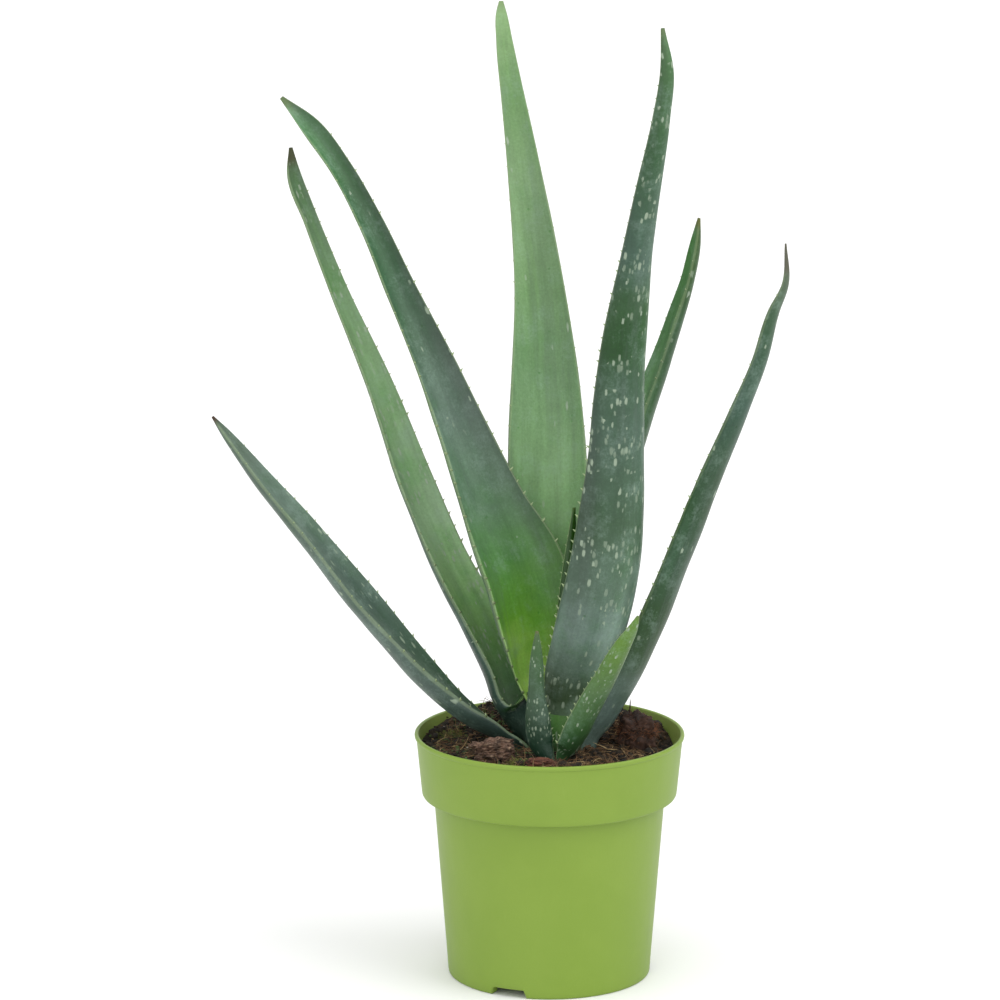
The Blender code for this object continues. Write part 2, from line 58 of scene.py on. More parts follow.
RIM_RADIUS = 0.0600
COLLAR_TOP_RADIUS = 0.0592
COLLAR_LOW_RADIUS = 0.0567
COLLAR_LOW_Z = 0.0818
BODY_TOP_RADIUS = 0.0514
BODY_LOW_RADIUS = 0.0453
FOOT_RADIUS = 0.0447
FOOT_INNER_RADIUS = 0.0412
FLOOR_UNDER_Z = 0.0038
FLOOR_THICK = 0.0014
PAD_RADIUS = 0.0080
WALL = 0.0011
COLLAR_LOW_IN = COLLAR_LOW_RADIUS - WALL
BODY_TOP_IN = BODY_TOP_RADIUS - WALL
BODY_LOW_IN = BODY_LOW_RADIUS - WALL

# ---- how finely a leaf is drawn ----
RING_TOP = 19
RING_UNDER = 21
LEAF_STEPS = 120
LEAST_HALF_WIDTH = 0.00035
LEAST_THICKNESS = 0.0004
SHEATH_THICKNESS = 0.0018
MARGIN_THICKNESS = 0.0008
RIPPLE = 0.00045
FOOT_RISES = (0.0, 0.0030, 0.0060)
TOOTH_SIDES = 8
SHORT_LEAF = 0.1
BARE_FOOT = 0.026
SHORT_BARE_FOOT = 0.014
LAST_TOOTH = 0.93


def paint(red, green, blue):
    """A colour given as screen values from 0 to 255, as linear light for a shader."""
    mixed = []
    for value in (red, green, blue):
        share = value / 255.0
        mixed.append(share / 12.92 if share <= 0.04045 else ((share + 0.055) / 1.055) ** 2.4)
    return (mixed[0], mixed[1], mixed[2], 1.0)


LEAF_LIGHT = 1.42
LEAF_GLOSS = 0.019


def lit(red, green, blue):
    """A surface's own colour, from the screen colour it should show under the studio light."""
    seen = paint(red, green, blue)
    own = [max(0.002, (value - LEAF_GLOSS) / LEAF_LIGHT) for value in seen[:3]]
    return (own[0], own[1], own[2], 1.0)


# ---- small helpers for shaders ----
def add_node(tree, kind, **settings):
    made = tree.nodes.new(kind)
    for name, value in settings.items():
        setattr(made, name, value)
    return made


def feed(tree, socket, value):
    """Links a socket to another one, or sets its own value."""
    if isinstance(value, bpy.types.NodeSocket):
        tree.links.new(value, socket)
    else:
        socket.default_value = value


def maths(tree, operation, *values):
    made = add_node(tree, "ShaderNodeMath", operation=operation)
    for index, value in enumerate(values):
        feed(tree, made.inputs[index], value)
    return made.outputs[0]


def times(tree, first, second):
    return maths(tree, "MULTIPLY", first, second)


def times_plus(tree, first, second, added):
    """The first value times the second one, plus the added one."""
    return maths(tree, "MULTIPLY_ADD", first, second, added)


def mixed_colour(tree, share, first, second, blend="MIX"):
    made = add_node(tree, "ShaderNodeMix", data_type="RGBA", blend_type=blend)
    feed(tree, made.inputs["Factor"], share)
    feed(tree, made.inputs[6], first)
    feed(tree, made.inputs[7], second)
    return made.outputs[2]


def stepped(tree, value, low, high, out_low=0.0, out_high=1.0):
    """Runs smoothly from out_low to out_high as the value goes from low to high."""
    made = add_node(tree, "ShaderNodeMapRange", interpolation_type="SMOOTHSTEP", clamp=True)
    feed(tree, made.inputs["Value"], value)
    feed(tree, made.inputs["From Min"], low)
    feed(tree, made.inputs["From Max"], high)
    feed(tree, made.inputs["To Min"], out_low)
    feed(tree, made.inputs["To Max"], out_high)
    return made.outputs["Result"]


def cloud(tree, vector, scale, detail=3.0, roughness=0.55):
    made = add_node(tree, "ShaderNodeTexNoise")
    feed(tree, made.inputs["Vector"], vector)
    feed(tree, made.inputs["Scale"], scale)
    feed(tree, made.inputs["Detail"], detail)
    feed(tree, made.inputs["Roughness"], roughness)
    return made.outputs["Fac"]


def stretched(tree, vector, scale):
    """The place, scaled differently along each axis."""
    made = add_node(tree, "ShaderNodeMapping")
    feed(tree, made.inputs["Vector"], vector)
    feed(tree, made.inputs["Scale"], scale)
    return made.outputs["Vector"]


def split(tree, vector):
    made = add_node(tree, "ShaderNodeSeparateXYZ")
    feed(tree, made.inputs[0], vector)
    return made.outputs


def joined(tree, first, second, third):
    made = add_node(tree, "ShaderNodeCombineXYZ")
    for index, value in enumerate((first, second, third)):
        feed(tree, made.inputs[index], value)
    return made.outputs[0]


def object_place(tree):
    """Places on the finished piece, in metres."""
    return add_node(tree, "ShaderNodeTexCoord").outputs["Object"]


def new_group(name, ins, outs):
    """A shader node group; ins and outs are (name, kind, default) and (name, kind)."""
    tree = bpy.data.node_groups.new(name, "ShaderNodeTree")
    kinds = {"value": "NodeSocketFloat", "colour": "NodeSocketColor", "vector": "NodeSocketVector"}
    for title, kind, default in ins:
        socket = tree.interface.new_socket(name=title, in_out="INPUT", socket_type=kinds[kind])
        if default is not None:
            socket.default_value = default
    for title, kind in outs:
        tree.interface.new_socket(name=title, in_out="OUTPUT", socket_type=kinds[kind])
    source = tree.nodes.new("NodeGroupInput")
    sink = tree.nodes.new("NodeGroupOutput")
    return tree, source.outputs, sink.inputs


def use_group(tree, group, **values):
    made = tree.nodes.new("ShaderNodeGroup")
    made.node_tree = group
    for name, value in values.items():
        feed(tree, made.inputs[name.replace("_", " ")], value)
    return made.outputs


def new_material(name):
    made = bpy.data.materials.new(name)
    made.use_nodes = True
    tree = made.node_tree
    return made, tree, tree.nodes["Principled BSDF"]


def bump(tree, height, strength, distance):
    made = add_node(tree, "ShaderNodeBump")
    feed(tree, made.inputs["Height"], height)
    made.inputs["Strength"].default_value = strength
    made.inputs["Distance"].default_value = distance
    return made.outputs["Normal"]


# ---- shared effects ----
def make_grain_group():
    """Fine colour and height variation for moulded plastic, peat and bark."""
    tree, given, out = new_group(
        "grain",
        [("Place", "vector", None), ("Colour", "colour", (0.5, 0.5, 0.5, 1.0)),
         ("Shade", "colour", (0.2, 0.2, 0.2, 1.0)), ("Patch Size", "value", 60.0),
         ("Grain Size", "value", 900.0), ("Patch", "value", 0.5), ("Grain", "value", 0.2)],
        [("Colour", "colour"), ("Height", "value"), ("Mask", "value")])
    patches = cloud(tree, given["Place"], given["Patch Size"], 4.0, 0.6)
    grains = cloud(tree, given["Place"], given["Grain Size"], 3.0, 0.6)
    mask = times(tree, stepped(tree, patches, 0.38, 0.66), given["Patch"])
    tone = mixed_colour(tree, mask, given["Colour"], given["Shade"])
    speck = stepped(tree, grains, 0.35, 0.7)
    tone = mixed_colour(tree, times(tree, speck, given["Grain"]), tone, given["Shade"])
    tree.links.new(tone, out["Colour"])
    tree.links.new(times_plus(tree, patches, 0.35, grains), out["Height"])
    tree.links.new(mask, out["Mask"])
    return tree


def make_drift_group():
    """A length along the leaf, shifted a little by cloudy patches so colours meet unevenly."""
    tree, given, out = new_group(
        "drift", [("Length", "value", 0.0), ("Spot", "vector", None), ("Amount", "value", 0.05)],
        [("Length", "value")])
    patches = maths(tree, "SUBTRACT", cloud(tree, given["Spot"], 55.0, 3.0, 0.6), 0.5)
    tree.links.new(times_plus(tree, patches, given["Amount"], given["Length"]), out["Length"])
    return tree


def make_fleck_group():
    """Pale flecks drawn out along the leaf, gathered in loose bands across it."""
    tree, given, out = new_group(
        "flecks",
        [("Place", "vector", None), ("Amount", "value", 0.4), ("Width", "value", 0.0019),
         ("Length", "value", 0.0055), ("Seed", "value", 0.0)],
        [("Mask", "value")])
    across, along, side = split(tree, given["Place"])
    cells = joined(tree, maths(tree, "DIVIDE", across, given["Width"]),
                   maths(tree, "DIVIDE", along, given["Length"]),
                   times_plus(tree, side, 7.0, given["Seed"]))
    spots = add_node(tree, "ShaderNodeTexVoronoi", feature="F1", distance="MINKOWSKI")
    feed(tree, spots.inputs["Vector"], cells)
    spots.inputs["Scale"].default_value = 1.0
    spots.inputs["Exponent"].default_value = 2.6
    spots.inputs["Randomness"].default_value = 1.0
    chance = split(tree, spots.outputs["Color"])
    worn = maths(tree, "SUBTRACT", cloud(tree, cells, 3.1, 3.0, 0.7), 0.5)
    reach = times_plus(tree, worn, 0.34, spots.outputs["Distance"])
    size = times_plus(tree, chance[1], 0.26, 0.20)
    shape = stepped(tree, maths(tree, "DIVIDE", reach, size), 1.15, 0.55)
    bands = joined(tree, times(tree, across, 30.0),
                   times(tree, along, 62.0),
                   times_plus(tree, side, 3.0, given["Seed"]))
    gather = stepped(tree, cloud(tree, bands, 1.0, 2.0, 0.5), 0.42, 0.62)
    limit = times(tree, given["Amount"], times_plus(tree, gather, 1.3, 0.08))
    present = maths(tree, "LESS_THAN", chance[0], limit)
    faint = times_plus(tree, chance[2], 0.55, 0.45)
    tree.links.new(times(tree, times(tree, shape, present), faint), out["Mask"])
    return tree


def make_leaf_group(flecks):
    """The leaf's skin: two sides, waxy bloom, mottling, flecks, pale margin, dry tip, teeth, and painted
    shade on one half of the width with painted light on the other.
    """
    tree, given, out = new_group(
        "leaf_skin",
        [("Place", "vector", None), ("Zone", "vector", None), ("Spot", "vector", None),
         ("Upper", "colour", None), ("Under", "colour", None), ("Deep", "colour", None),
         ("Sheath", "colour", None), ("Bloom", "colour", None), ("Margin", "colour", None),
         ("Tip", "colour", None), ("Fleck", "colour", None),
         ("Sheath End", "value", 0.0), ("Bloom Amount", "value", 0.4),
         ("Mottle", "value", 0.4), ("Fleck Amount", "value", 0.3), ("Margin Line", "value", 0.5),
         ("Fleck Size", "value", 1.0), ("Tip Start", "value", 0.97), ("Side Shading", "value", 0.0),
         ("Seed", "value", 0.0)],
        [("Colour", "colour"), ("Roughness", "value"), ("Height", "value")])
    across, along, side = split(tree, given["Place"])
    length, share, tooth = split(tree, given["Zone"])
    shifted = add_node(tree, "ShaderNodeVectorMath", operation="ADD")
    feed(tree, shifted.inputs[0], given["Spot"])
    feed(tree, shifted.inputs[1], given["Seed"])
    spot = shifted.outputs[0]

    patches = cloud(tree, spot, 48.0, 5.0, 0.62)
    tone = mixed_colour(tree, side, given["Upper"], given["Under"])
    nearby = stepped(tree, maths(tree, "DIVIDE", length, given["Sheath End"]), 1.05, 0.75)
    wrapped = times(tree, nearby, stepped(tree, share, 0.55, 0.80))
    tone = mixed_colour(tree, wrapped, tone, given["Sheath"])
    deep = times(tree, stepped(tree, patches, 0.47, 0.68), given["Mottle"])
    tone = mixed_colour(tree, deep, tone, mixed_colour(tree, 1.0, tone, given["Deep"], "MULTIPLY"))

    lines = joined(tree, times(tree, across, 620.0),
                   times(tree, along, 34.0), side)
    streaks = cloud(tree, lines, 1.0, 4.0, 0.65)
    haze = cloud(tree, spot, 85.0, 6.0, 0.72)
    dust = cloud(tree, spot, 900.0, 3.0, 0.7)
    hazed = times_plus(tree, streaks, 0.18, haze)
    hazed = stepped(tree, times_plus(tree, dust, 0.30, hazed), 0.70, 0.96)
    hazed = times(tree, hazed, given["Bloom Amount"])
    tone = mixed_colour(tree, hazed, tone, given["Bloom"])

    ribbons = joined(tree, times(tree, across, 105.0),
                     times(tree, along, 7.0),
                     times_plus(tree, side, 3.0, given["Seed"]))
    band = stepped(tree, cloud(tree, ribbons, 1.0, 4.0, 0.6), 0.30, 0.70)
    light = times_plus(tree, dust, 0.56, 0.72)
    for pattern, swing, base in ((streaks, 0.30, 0.85), (haze, 0.50, 0.75), (band, 0.36, 0.82)):
        varied = times_plus(tree, pattern, swing, base)
        light = times(tree, light, varied)
    grey = times(tree, stepped(tree, band, 0.45, 0.05), given["Bloom Amount"])
    tone = mixed_colour(tree, times(tree, grey, 0.35), tone, given["Bloom"])
    # The next lines darken one half of the leaf's width and lighten the other: painted shade and painted
    # light, as a light from one side would give.
    side_shading = times(tree, maths(tree, "SIGN", across), share)
    light = times(tree, light, times_plus(tree, side_shading, given["Side Shading"], 1.0))
    tone = mixed_colour(tree, 1.0, tone, joined(tree, light, light, light), "MULTIPLY")

    dots = add_node(tree, "ShaderNodeTexVoronoi", feature="F1")
    feed(tree, dots.inputs["Vector"], spot)
    dots.inputs["Scale"].default_value = 210.0
    rare = maths(tree, "LESS_THAN", split(tree, dots.outputs["Color"])[0], 0.16)
    nick = times(tree, stepped(tree, dots.outputs["Distance"], 0.17, 0.06), rare)
    tone = mixed_colour(tree, times(tree, nick, 0.80), tone,
                        mixed_colour(tree, 1.0, tone, given["Deep"], "MULTIPLY"))

    wide = times(tree, given["Fleck Size"], 0.0019)
    long = times(tree, given["Fleck Size"], 0.0056)
    marks = use_group(tree, flecks, Place=given["Place"], Amount=given["Fleck Amount"],
                      Width=wide, Length=long, Seed=given["Seed"])["Mask"]
    tone = mixed_colour(tree, times(tree, marks, 0.88), tone, given["Fleck"])

    edge = times(tree, stepped(tree, share, 0.962, 0.996), given["Margin Line"])
    tone = mixed_colour(tree, edge, tone, given["Margin"])
    dry = maths(tree, "SUBTRACT", length, given["Tip Start"])
    dry = stepped(tree, times_plus(tree, patches, 0.02, dry), 0.0, 0.022)
    tone = mixed_colour(tree, dry, tone, given["Tip"])
    tone = mixed_colour(tree, tooth, tone, given["Margin"])

    rough = times_plus(tree, hazed, 0.25, 0.36)
    rough = times_plus(tree, dust, 0.12, rough)
    rough = times_plus(tree, dry, 0.25, rough)
    height = times_plus(tree, streaks, 0.35, times(tree, dust, 0.35))
    height = times_plus(tree, haze, 0.9, height)
    height = times_plus(tree, marks, 0.18, height)
    height = times_plus(tree, nick, -0.5, height)
    for title, value in (("Colour", tone), ("Roughness", rough), ("Height", height)):
        tree.links.new(value, out[title])
    return tree


GRAIN = make_grain_group()
DRIFT = make_drift_group()
FLECKS = make_fleck_group()
LEAF_SKIN = make_leaf_group(FLECKS)


def grainy_material(name, colour, shade, patch_size, grain_size, patch, grain):
    """A new material that starts from the shared grain; gives it and the parts to build on."""
    made, tree, shader = new_material(name)
    spot = object_place(tree)
    soft = use_group(tree, GRAIN, Place=spot, Colour=colour, Shade=shade, Patch_Size=patch_size,
                     Grain_Size=grain_size, Patch=patch, Grain=grain)
    return made, tree, shader, spot, soft


def dress(tree, shader, tone, rough, height, strength, distance):
    """Gives a shader its colour, roughness and bump."""
    feed(tree, shader.inputs["Base Color"], tone)
    feed(tree, shader.inputs["Roughness"], rough)
    feed(tree, shader.inputs["Normal"], bump(tree, height, strength, distance))


LEAF_LOOK = {
    "Deep": (0.62, 0.86, 0.56, 1.0),
    "Sheath": lit(70, 116, 44),
    "Bloom": lit(136, 158, 146),
    "Margin": lit(178, 198, 150),
    "Tip": lit(112, 92, 66),
    "Fleck": lit(172, 190, 166),
    "Sheath End": 0.001,
    "Bloom Amount": 0.40,
    "Mottle": 0.55,
    "Fleck Amount": 0.10,
    "Fleck Size": 1.0,
    "Margin Line": 0.45,
    "Tip Start": 0.985,
    "Side Shading": 0.0,
    "Seed": 0.0,
}


def colour_run(tree, at, stops):
    """Colours met one after another along the leaf, given as (place, red, green, blue)."""
    run = add_node(tree, "ShaderNodeValToRGB")
    feed(tree, run.inputs[0], at)
    parts = run.color_ramp.elements
    while len(parts) < len(stops):
        parts.new(0.5)
    for part, (place, red, green, blue) in zip(parts, stops):
        part.position = place
    for part, (place, red, green, blue) in zip(parts, stops):
        part.color = lit(red, green, blue)
    return run.outputs["Color"]


def leaf_material(name, spec):
    look = dict(LEAF_LOOK)
    look.update(spec["look"])
    made, tree, shader = new_material(name)
    place = add_node(tree, "ShaderNodeAttribute", attribute_name="leaf_place")
    zone = add_node(tree, "ShaderNodeAttribute", attribute_name="leaf_zone")
    spot = object_place(tree)
    length = split(tree, zone.outputs["Vector"])[0]
    drifted = use_group(tree, DRIFT, Length=length, Spot=spot, Amount=0.10)["Length"]
    skin = tree.nodes.new("ShaderNodeGroup")
    skin.node_tree = LEAF_SKIN
    feed(tree, skin.inputs["Place"], place.outputs["Vector"])
    feed(tree, skin.inputs["Zone"], zone.outputs["Vector"])
    feed(tree, skin.inputs["Spot"], spot)
    feed(tree, skin.inputs["Upper"], colour_run(tree, drifted, spec["upper"]))
    feed(tree, skin.inputs["Under"], colour_run(tree, drifted, spec["under"]))
    for title, value in look.items():
        skin.inputs[title].default_value = value
    dress(tree, shader, skin.outputs["Colour"], skin.outputs["Roughness"], skin.outputs["Height"],
          0.42, 0.0006)
    shader.inputs["IOR"].default_value = 1.40
    return made


# ---- leaves ----
# root: (azimuth from the stem in degrees, inner radius, half angle of the clasping foot)
# axis: (x, y) that the foot clasps, where it isn't the stem
# sheath: rises of the foot's first sections above the leaf roots' level
# thick: greatest thickness
# path: (x, y, z, half width) along the middle of the leaf's upper side, root to tip
# faces: azimuth the upper side looks to, at the foot, half way and at the tip; where there
#        are four, the second is just above the foot
# bend: half angle of the channelled section, above the foot, half way and at the tip
# teeth: (spacing, size) of the soft teeth on both margins
# upper, under: (place from foot to tip, red, green, blue) of each side's colours; besides the leaves' own
# greens they hold painted shade in the dark stops at the feet, where the leaves shade one another, and
# painted light in stops raised where a stretch lies in shade
# look: what differs from LEAF_LOOK
LEAVES = {
    "leaf_low_left": {
        "root": (190, 0.0188, 34),
        "sheath": (0.0, 0.0010, 0.0020),
        "thick": 0.0062,
        "faces": (10, -16, -14),
        "bend": (40, 38, 30),
        "teeth": (0.0070, 0.0018),
        "path": (
            (-0.0215, -0.0035, 0.1090, 0.0106),
            (-0.0355, -0.0025, 0.1188, 0.0116),
            (-0.0526, -0.0010, 0.1345, 0.0120),
            (-0.0722, 0.0000, 0.1570, 0.0108),
            (-0.0905, 0.0000, 0.1795, 0.0097),
            (-0.1085, 0.0000, 0.2030, 0.0081),
            (-0.1255, 0.0000, 0.2235, 0.0064),
            (-0.1425, 0.0000, 0.2460, 0.0026),
            (-0.1480, 0.0000, 0.2530, 0.0006),
        ),
        "upper": ((0.0, 66, 92, 62), (0.25, 88, 112, 92), (0.5, 90, 112, 100), (0.8, 110, 133, 118),
                  (1.0, 104, 122, 104)),
        "under": ((0.0, 52, 70, 66), (0.2, 78, 97, 89), (0.45, 100, 119, 108), (1.0, 104, 122, 108)),
        "look": {"Fleck Amount": 0.22, "Fleck Size": 0.85, "Bloom Amount": 0.5, "Margin Line": 0.25,
                 "Tip": lit(84, 66, 54), "Seed": 3.0},
    },
    "leaf_left": {
        "root": (182, 0.0159, 114),
        "sheath": (0.0, 0.0035, 0.0070),
        "thick": 0.0068,
        "faces": (2, -38, -60, -56),
        "bend": (66, 42, 30),
        "teeth": (0.0075, 0.0020),
        "path": (
            (-0.0153, 0.0094, 0.1120, 0.0192),
            (-0.0222, 0.0165, 0.1335, 0.0150),
            (-0.0328, 0.0245, 0.1555, 0.0124),
            (-0.0464, 0.0325, 0.1815, 0.0101),
            (-0.0593, 0.0390, 0.2120, 0.0089),
            (-0.0762, 0.0475, 0.2575, 0.0064),
            (-0.0948, 0.0590, 0.2995, 0.0042),
            (-0.1064, 0.0655, 0.3285, 0.0034),
            (-0.1146, 0.0700, 0.3505, 0.0030),
            (-0.1157, 0.0700, 0.3615, 0.0007),
        ),
        # The light stops from 0.12 to 0.4 are raised over the leaf's own green: painted light on the
        # stretch that the leaves beside it shade.
        "upper": ((0.0, 62, 92, 46), (0.12, 126, 168, 118), (0.2, 132, 178, 104), (0.3, 156, 198, 136),
                  (0.4, 162, 197, 152), (0.6, 142, 180, 129), (0.75, 134, 172, 122),
                  (0.92, 103, 139, 96), (1.0, 104, 124, 92)),
        "under": ((0.0, 52, 68, 58), (0.1, 76, 100, 90), (0.25, 82, 106, 90), (0.5, 100, 128, 100),
                  (1.0, 100, 130, 96)),
        "look": {"Fleck Amount": 0.62, "Fleck Size": 0.85, "Mottle": 0.7, "Sheath End": 0.09,
                 "Bloom Amount": 0.34, "Margin Line": 0.32,
                 "Tip": lit(96, 100, 74), "Tip Start": 0.975, "Seed": 7.0},
    },
    "leaf_left_centre": {
        "root": (145, 0.0055, 85),
        "thick": 0.0060,
        "faces": (-62, -60, -52),
        "bend": (56, 36, 28),
        "teeth": (0.0075, 0.0021),
        "path": (
            (-0.0068, 0.0078, 0.1370, 0.0152),
            (-0.0086, 0.0098, 0.1550, 0.0210),
            (-0.0139, 0.0145, 0.1790, 0.0217),
            (-0.0262, 0.0215, 0.2065, 0.0169),
            (-0.0382, 0.0310, 0.2360, 0.0128),
            (-0.0508, 0.0385, 0.2665, 0.0100),
            (-0.0668, 0.0470, 0.3010, 0.0075),
            (-0.0806, 0.0530, 0.3315, 0.0060),
            (-0.0930, 0.0585, 0.3535, 0.0053),
            (-0.1062, 0.0645, 0.3710, 0.0047),
            (-0.1195, 0.0670, 0.3845, 0.0007),
        ),
        "upper": ((0.0, 120, 160, 60), (0.11, 190, 236, 118), (0.19, 116, 174, 66), (0.28, 98, 148, 84),
                  (0.38, 102, 134, 106), (0.5, 106, 130, 114), (0.6, 82, 109, 88),
                  (0.7, 70, 106, 76), (0.84, 66, 104, 68), (0.96, 88, 132, 88), (1.0, 106, 138, 94)),
        "under": ((0.0, 50, 84, 30), (0.3, 60, 95, 60), (1.0, 70, 104, 76)),
        # Its right half is darkened: painted shade beside the front leaf.
        "look": {"Fleck Amount": 0.06, "Mottle": 0.5, "Margin Line": 0.35, "Side Shading": -0.36,
                 "Bloom Amount": 0.34, "Tip": lit(112, 132, 92), "Seed": 11.0},
    },
    "leaf_back": {
        "root": (98, 0.0078, 80),
        "thick": 0.0070,
        "faces": (-82, -88, -82),
        "bend": (46, 26, 24),
        "teeth": (0.0095, 0.0015),
        "path": (
            (0.0025, 0.0150, 0.1310, 0.0140),
            (0.0010, 0.0260, 0.1640, 0.0175),
            (-0.0005, 0.0360, 0.1990, 0.0183),
            (-0.0012, 0.0450, 0.2295, 0.0178),
            (-0.0018, 0.0545, 0.2590, 0.0153),
            (-0.0039, 0.0655, 0.2930, 0.0117),
            (-0.0118, 0.0910, 0.3525, 0.0071),
            (-0.0167, 0.1030, 0.3830, 0.0049),
            (-0.0201, 0.1120, 0.4045, 0.0034),
            (-0.0214, 0.1165, 0.4165, 0.0021),
            (-0.0215, 0.1180, 0.4215, 0.0007),
        ),
        # The stops from 0.25 to 0.4 are raised over the leaf's own green: painted light on its shaded
        # lower part.
        "upper": ((0.0, 108, 162, 78), (0.25, 126, 176, 106), (0.31, 134, 178, 118), (0.4, 134, 174, 121),
                  (0.5, 120, 159, 110), (0.6, 118, 157, 103), (0.75, 131, 166, 117),
                  (0.88, 119, 161, 101), (0.97, 148, 184, 128), (1.0, 154, 186, 132)),
        "under": ((0.0, 70, 110, 52), (0.5, 96, 130, 96), (1.0, 120, 150, 110)),
        "look": {"Fleck Amount": 0.05, "Mottle": 0.34, "Bloom Amount": 0.28, "Margin Line": 0.30,
                 "Tip": lit(138, 164, 112), "Tip Start": 0.992, "Seed": 17.0},
    },
    "leaf_front": {
        "root": (-55, 0.0102, 54),
        "thick": 0.0075,
        "faces": (125, 116, 112),
        "bend": (58, 34, 26),
        "teeth": (0.0058, 0.0019),
        "path": (
            (0.0140, -0.0090, 0.1320, 0.0172),
            (0.0203, -0.0150, 0.1560, 0.0198),
            (0.0254, -0.0195, 0.1845, 0.0188),
            (0.0281, -0.0240, 0.2125, 0.0166),
            (0.0297, -0.0275, 0.2400, 0.0139),
            (0.0303, -0.0310, 0.2670, 0.0121),
            (0.0322, -0.0355, 0.2940, 0.0104),
            (0.0365, -0.0425, 0.3300, 0.0072),
            (0.0411, -0.0505, 0.3615, 0.0055),
            (0.0460, -0.0600, 0.3930, 0.0038),
            (0.0480, -0.0660, 0.4145, 0.0027),
            (0.0462, -0.0635, 0.4320, 0.0006),
        ),
        "upper": ((0.0, 60, 90, 50), (0.5, 70, 108, 66), (1.0, 90, 126, 84)),
        # Near the foot the pale stops are partly the leaf's waxy bloom and partly painted light, raised
        # where the small front leaves shade it.
        "under": ((0.0, 74, 116, 52), (0.05, 150, 180, 148), (0.09, 84, 106, 76), (0.13, 118, 144, 124),
                  (0.18, 134, 158, 147), (0.25, 102, 128, 109), (0.34, 74, 102, 76),
                  (0.45, 86, 113, 95), (0.52, 74, 104, 80), (0.58, 52, 92, 50), (0.63, 64, 102, 62),
                  (0.70, 84, 114, 97), (0.83, 70, 106, 72), (0.93, 76, 115, 72),
                  (1.0, 100, 132, 94)),
        # Its right half is lightened and its left half darkened: painted light and painted shade.
        "look": {"Fleck Amount": 0.95, "Bloom Amount": 0.40, "Mottle": 0.70, "Fleck Size": 0.84,
                 "Margin Line": 0.30, "Side Shading": -0.36, "Tip": lit(112, 132, 92), "Tip Start": 0.99,
                 "Seed": 23.0},
    },
    "leaf_right_centre": {
        "root": (15, 0.0032, 80),
        "thick": 0.0055,
        "faces": (195, 195, 195),
        "bend": (55, 38, 30),
        "teeth": (0.0070, 0.0017),
        "path": (
            (0.0125, 0.0020, 0.1500, 0.0075),
            (0.0187, 0.0045, 0.1825, 0.0094),
            (0.0266, 0.0070, 0.2090, 0.0097),
            (0.0355, 0.0090, 0.2360, 0.0092),
            (0.0424, 0.0105, 0.2580, 0.0083),
            (0.0483, 0.0110, 0.2750, 0.0073),
            (0.0544, 0.0130, 0.2935, 0.0062),
            (0.0600, 0.0145, 0.3110, 0.0051),
            (0.0632, 0.0155, 0.3265, 0.0039),
            (0.0650, 0.0155, 0.3385, 0.0008),
        ),
        "upper": ((0.0, 60, 90, 50), (0.5, 70, 106, 66), (0.65, 100, 142, 94), (0.8, 78, 122, 72),
                  (0.95, 64, 116, 54), (1.0, 86, 112, 56)),
        "under": ((0.0, 50, 80, 44), (0.5, 62, 98, 58), (0.65, 84, 120, 82), (0.8, 72, 108, 70),
                  (1.0, 78, 104, 60)),
        "look": {"Fleck Amount": 0.16, "Fleck Size": 0.8, "Margin Line": 0.22, "Bloom Amount": 0.26,
                 "Tip": lit(112, 118, 66), "Seed": 29.0},
    },
    "leaf_right": {
        "root": (-5, 0.0127, 52),
        "thick": 0.0064,
        "faces": (175, 155, 160),
        "bend": (46, 38, 28),
        "teeth": (0.0065, 0.0019),
        "path": (
            (0.0255, -0.0010, 0.1165, 0.0130),
            (0.0322, -0.0015, 0.1305, 0.0134),
            (0.0417, -0.0020, 0.1530, 0.0126),
            (0.0520, -0.0035, 0.1785, 0.0110),
            (0.0616, -0.0050, 0.2035, 0.0097),
            (0.0720, -0.0065, 0.2310, 0.0084),
            (0.0824, -0.0080, 0.2570, 0.0070),
            (0.0911, -0.0090, 0.2805, 0.0055),
            (0.0968, -0.0095, 0.3015, 0.0043),
            (0.1016, -0.0100, 0.3135, 0.0026),
            (0.1017, -0.0100, 0.3315, 0.0005),
        ),
        "upper": ((0.0, 60, 80, 62), (0.3, 52, 78, 50), (0.6, 62, 92, 62), (1.0, 76, 104, 80)),
        "under": ((0.0, 108, 128, 120), (0.1, 106, 126, 118), (0.2, 60, 88, 56), (0.3, 52, 82, 48),
                  (0.4, 64, 94, 70), (0.5, 53, 87, 54), (0.6, 64, 94, 70), (0.7, 68, 98, 82),
                  (0.85, 66, 97, 71), (0.93, 92, 112, 90), (1.0, 112, 108, 92)),
        "look": {"Fleck Amount": 0.14, "Fleck Size": 0.8, "Bloom Amount": 0.36, "Margin Line": 0.2,
                 "Tip": lit(106, 106, 92), "Tip Start": 0.95, "Seed": 31.0},
    },
    "leaf_heart": {
        "root": (-60, 0.0009, 70),
        "thick": 0.0030,
        "faces": (120, 120, 120),
        "bend": (50, 40, 30),
        "teeth": (0.0042, 0.0015),
        "path": (
            (0.0060, -0.0030, 0.1250, 0.0026),
            (0.0060, -0.0060, 0.1500, 0.0038),
            (0.0080, -0.0080, 0.1780, 0.0036),
            (0.0105, -0.0085, 0.2140, 0.0005),
        ),
        "upper": ((0.0, 50, 84, 34), (1.0, 62, 100, 42)),
        "under": ((0.0, 44, 76, 30), (1.0, 58, 94, 40)),
        "look": {"Fleck Amount": 0.05, "Bloom Amount": 0.1, "Tip": lit(80, 110, 56), "Seed": 37.0},
    },
    "offset_leaf_left": {
        "root": (228, 0.0042, 46),
        "axis": (OFFSET_X, OFFSET_Y),
        "thick": 0.0038,
        "faces": (48, 72, 80),
        "bend": (52, 48, 40),
        "teeth": (0.0036, 0.0015),
        "path": (
            (-0.0050, -0.0275, 0.1120, 0.0064),
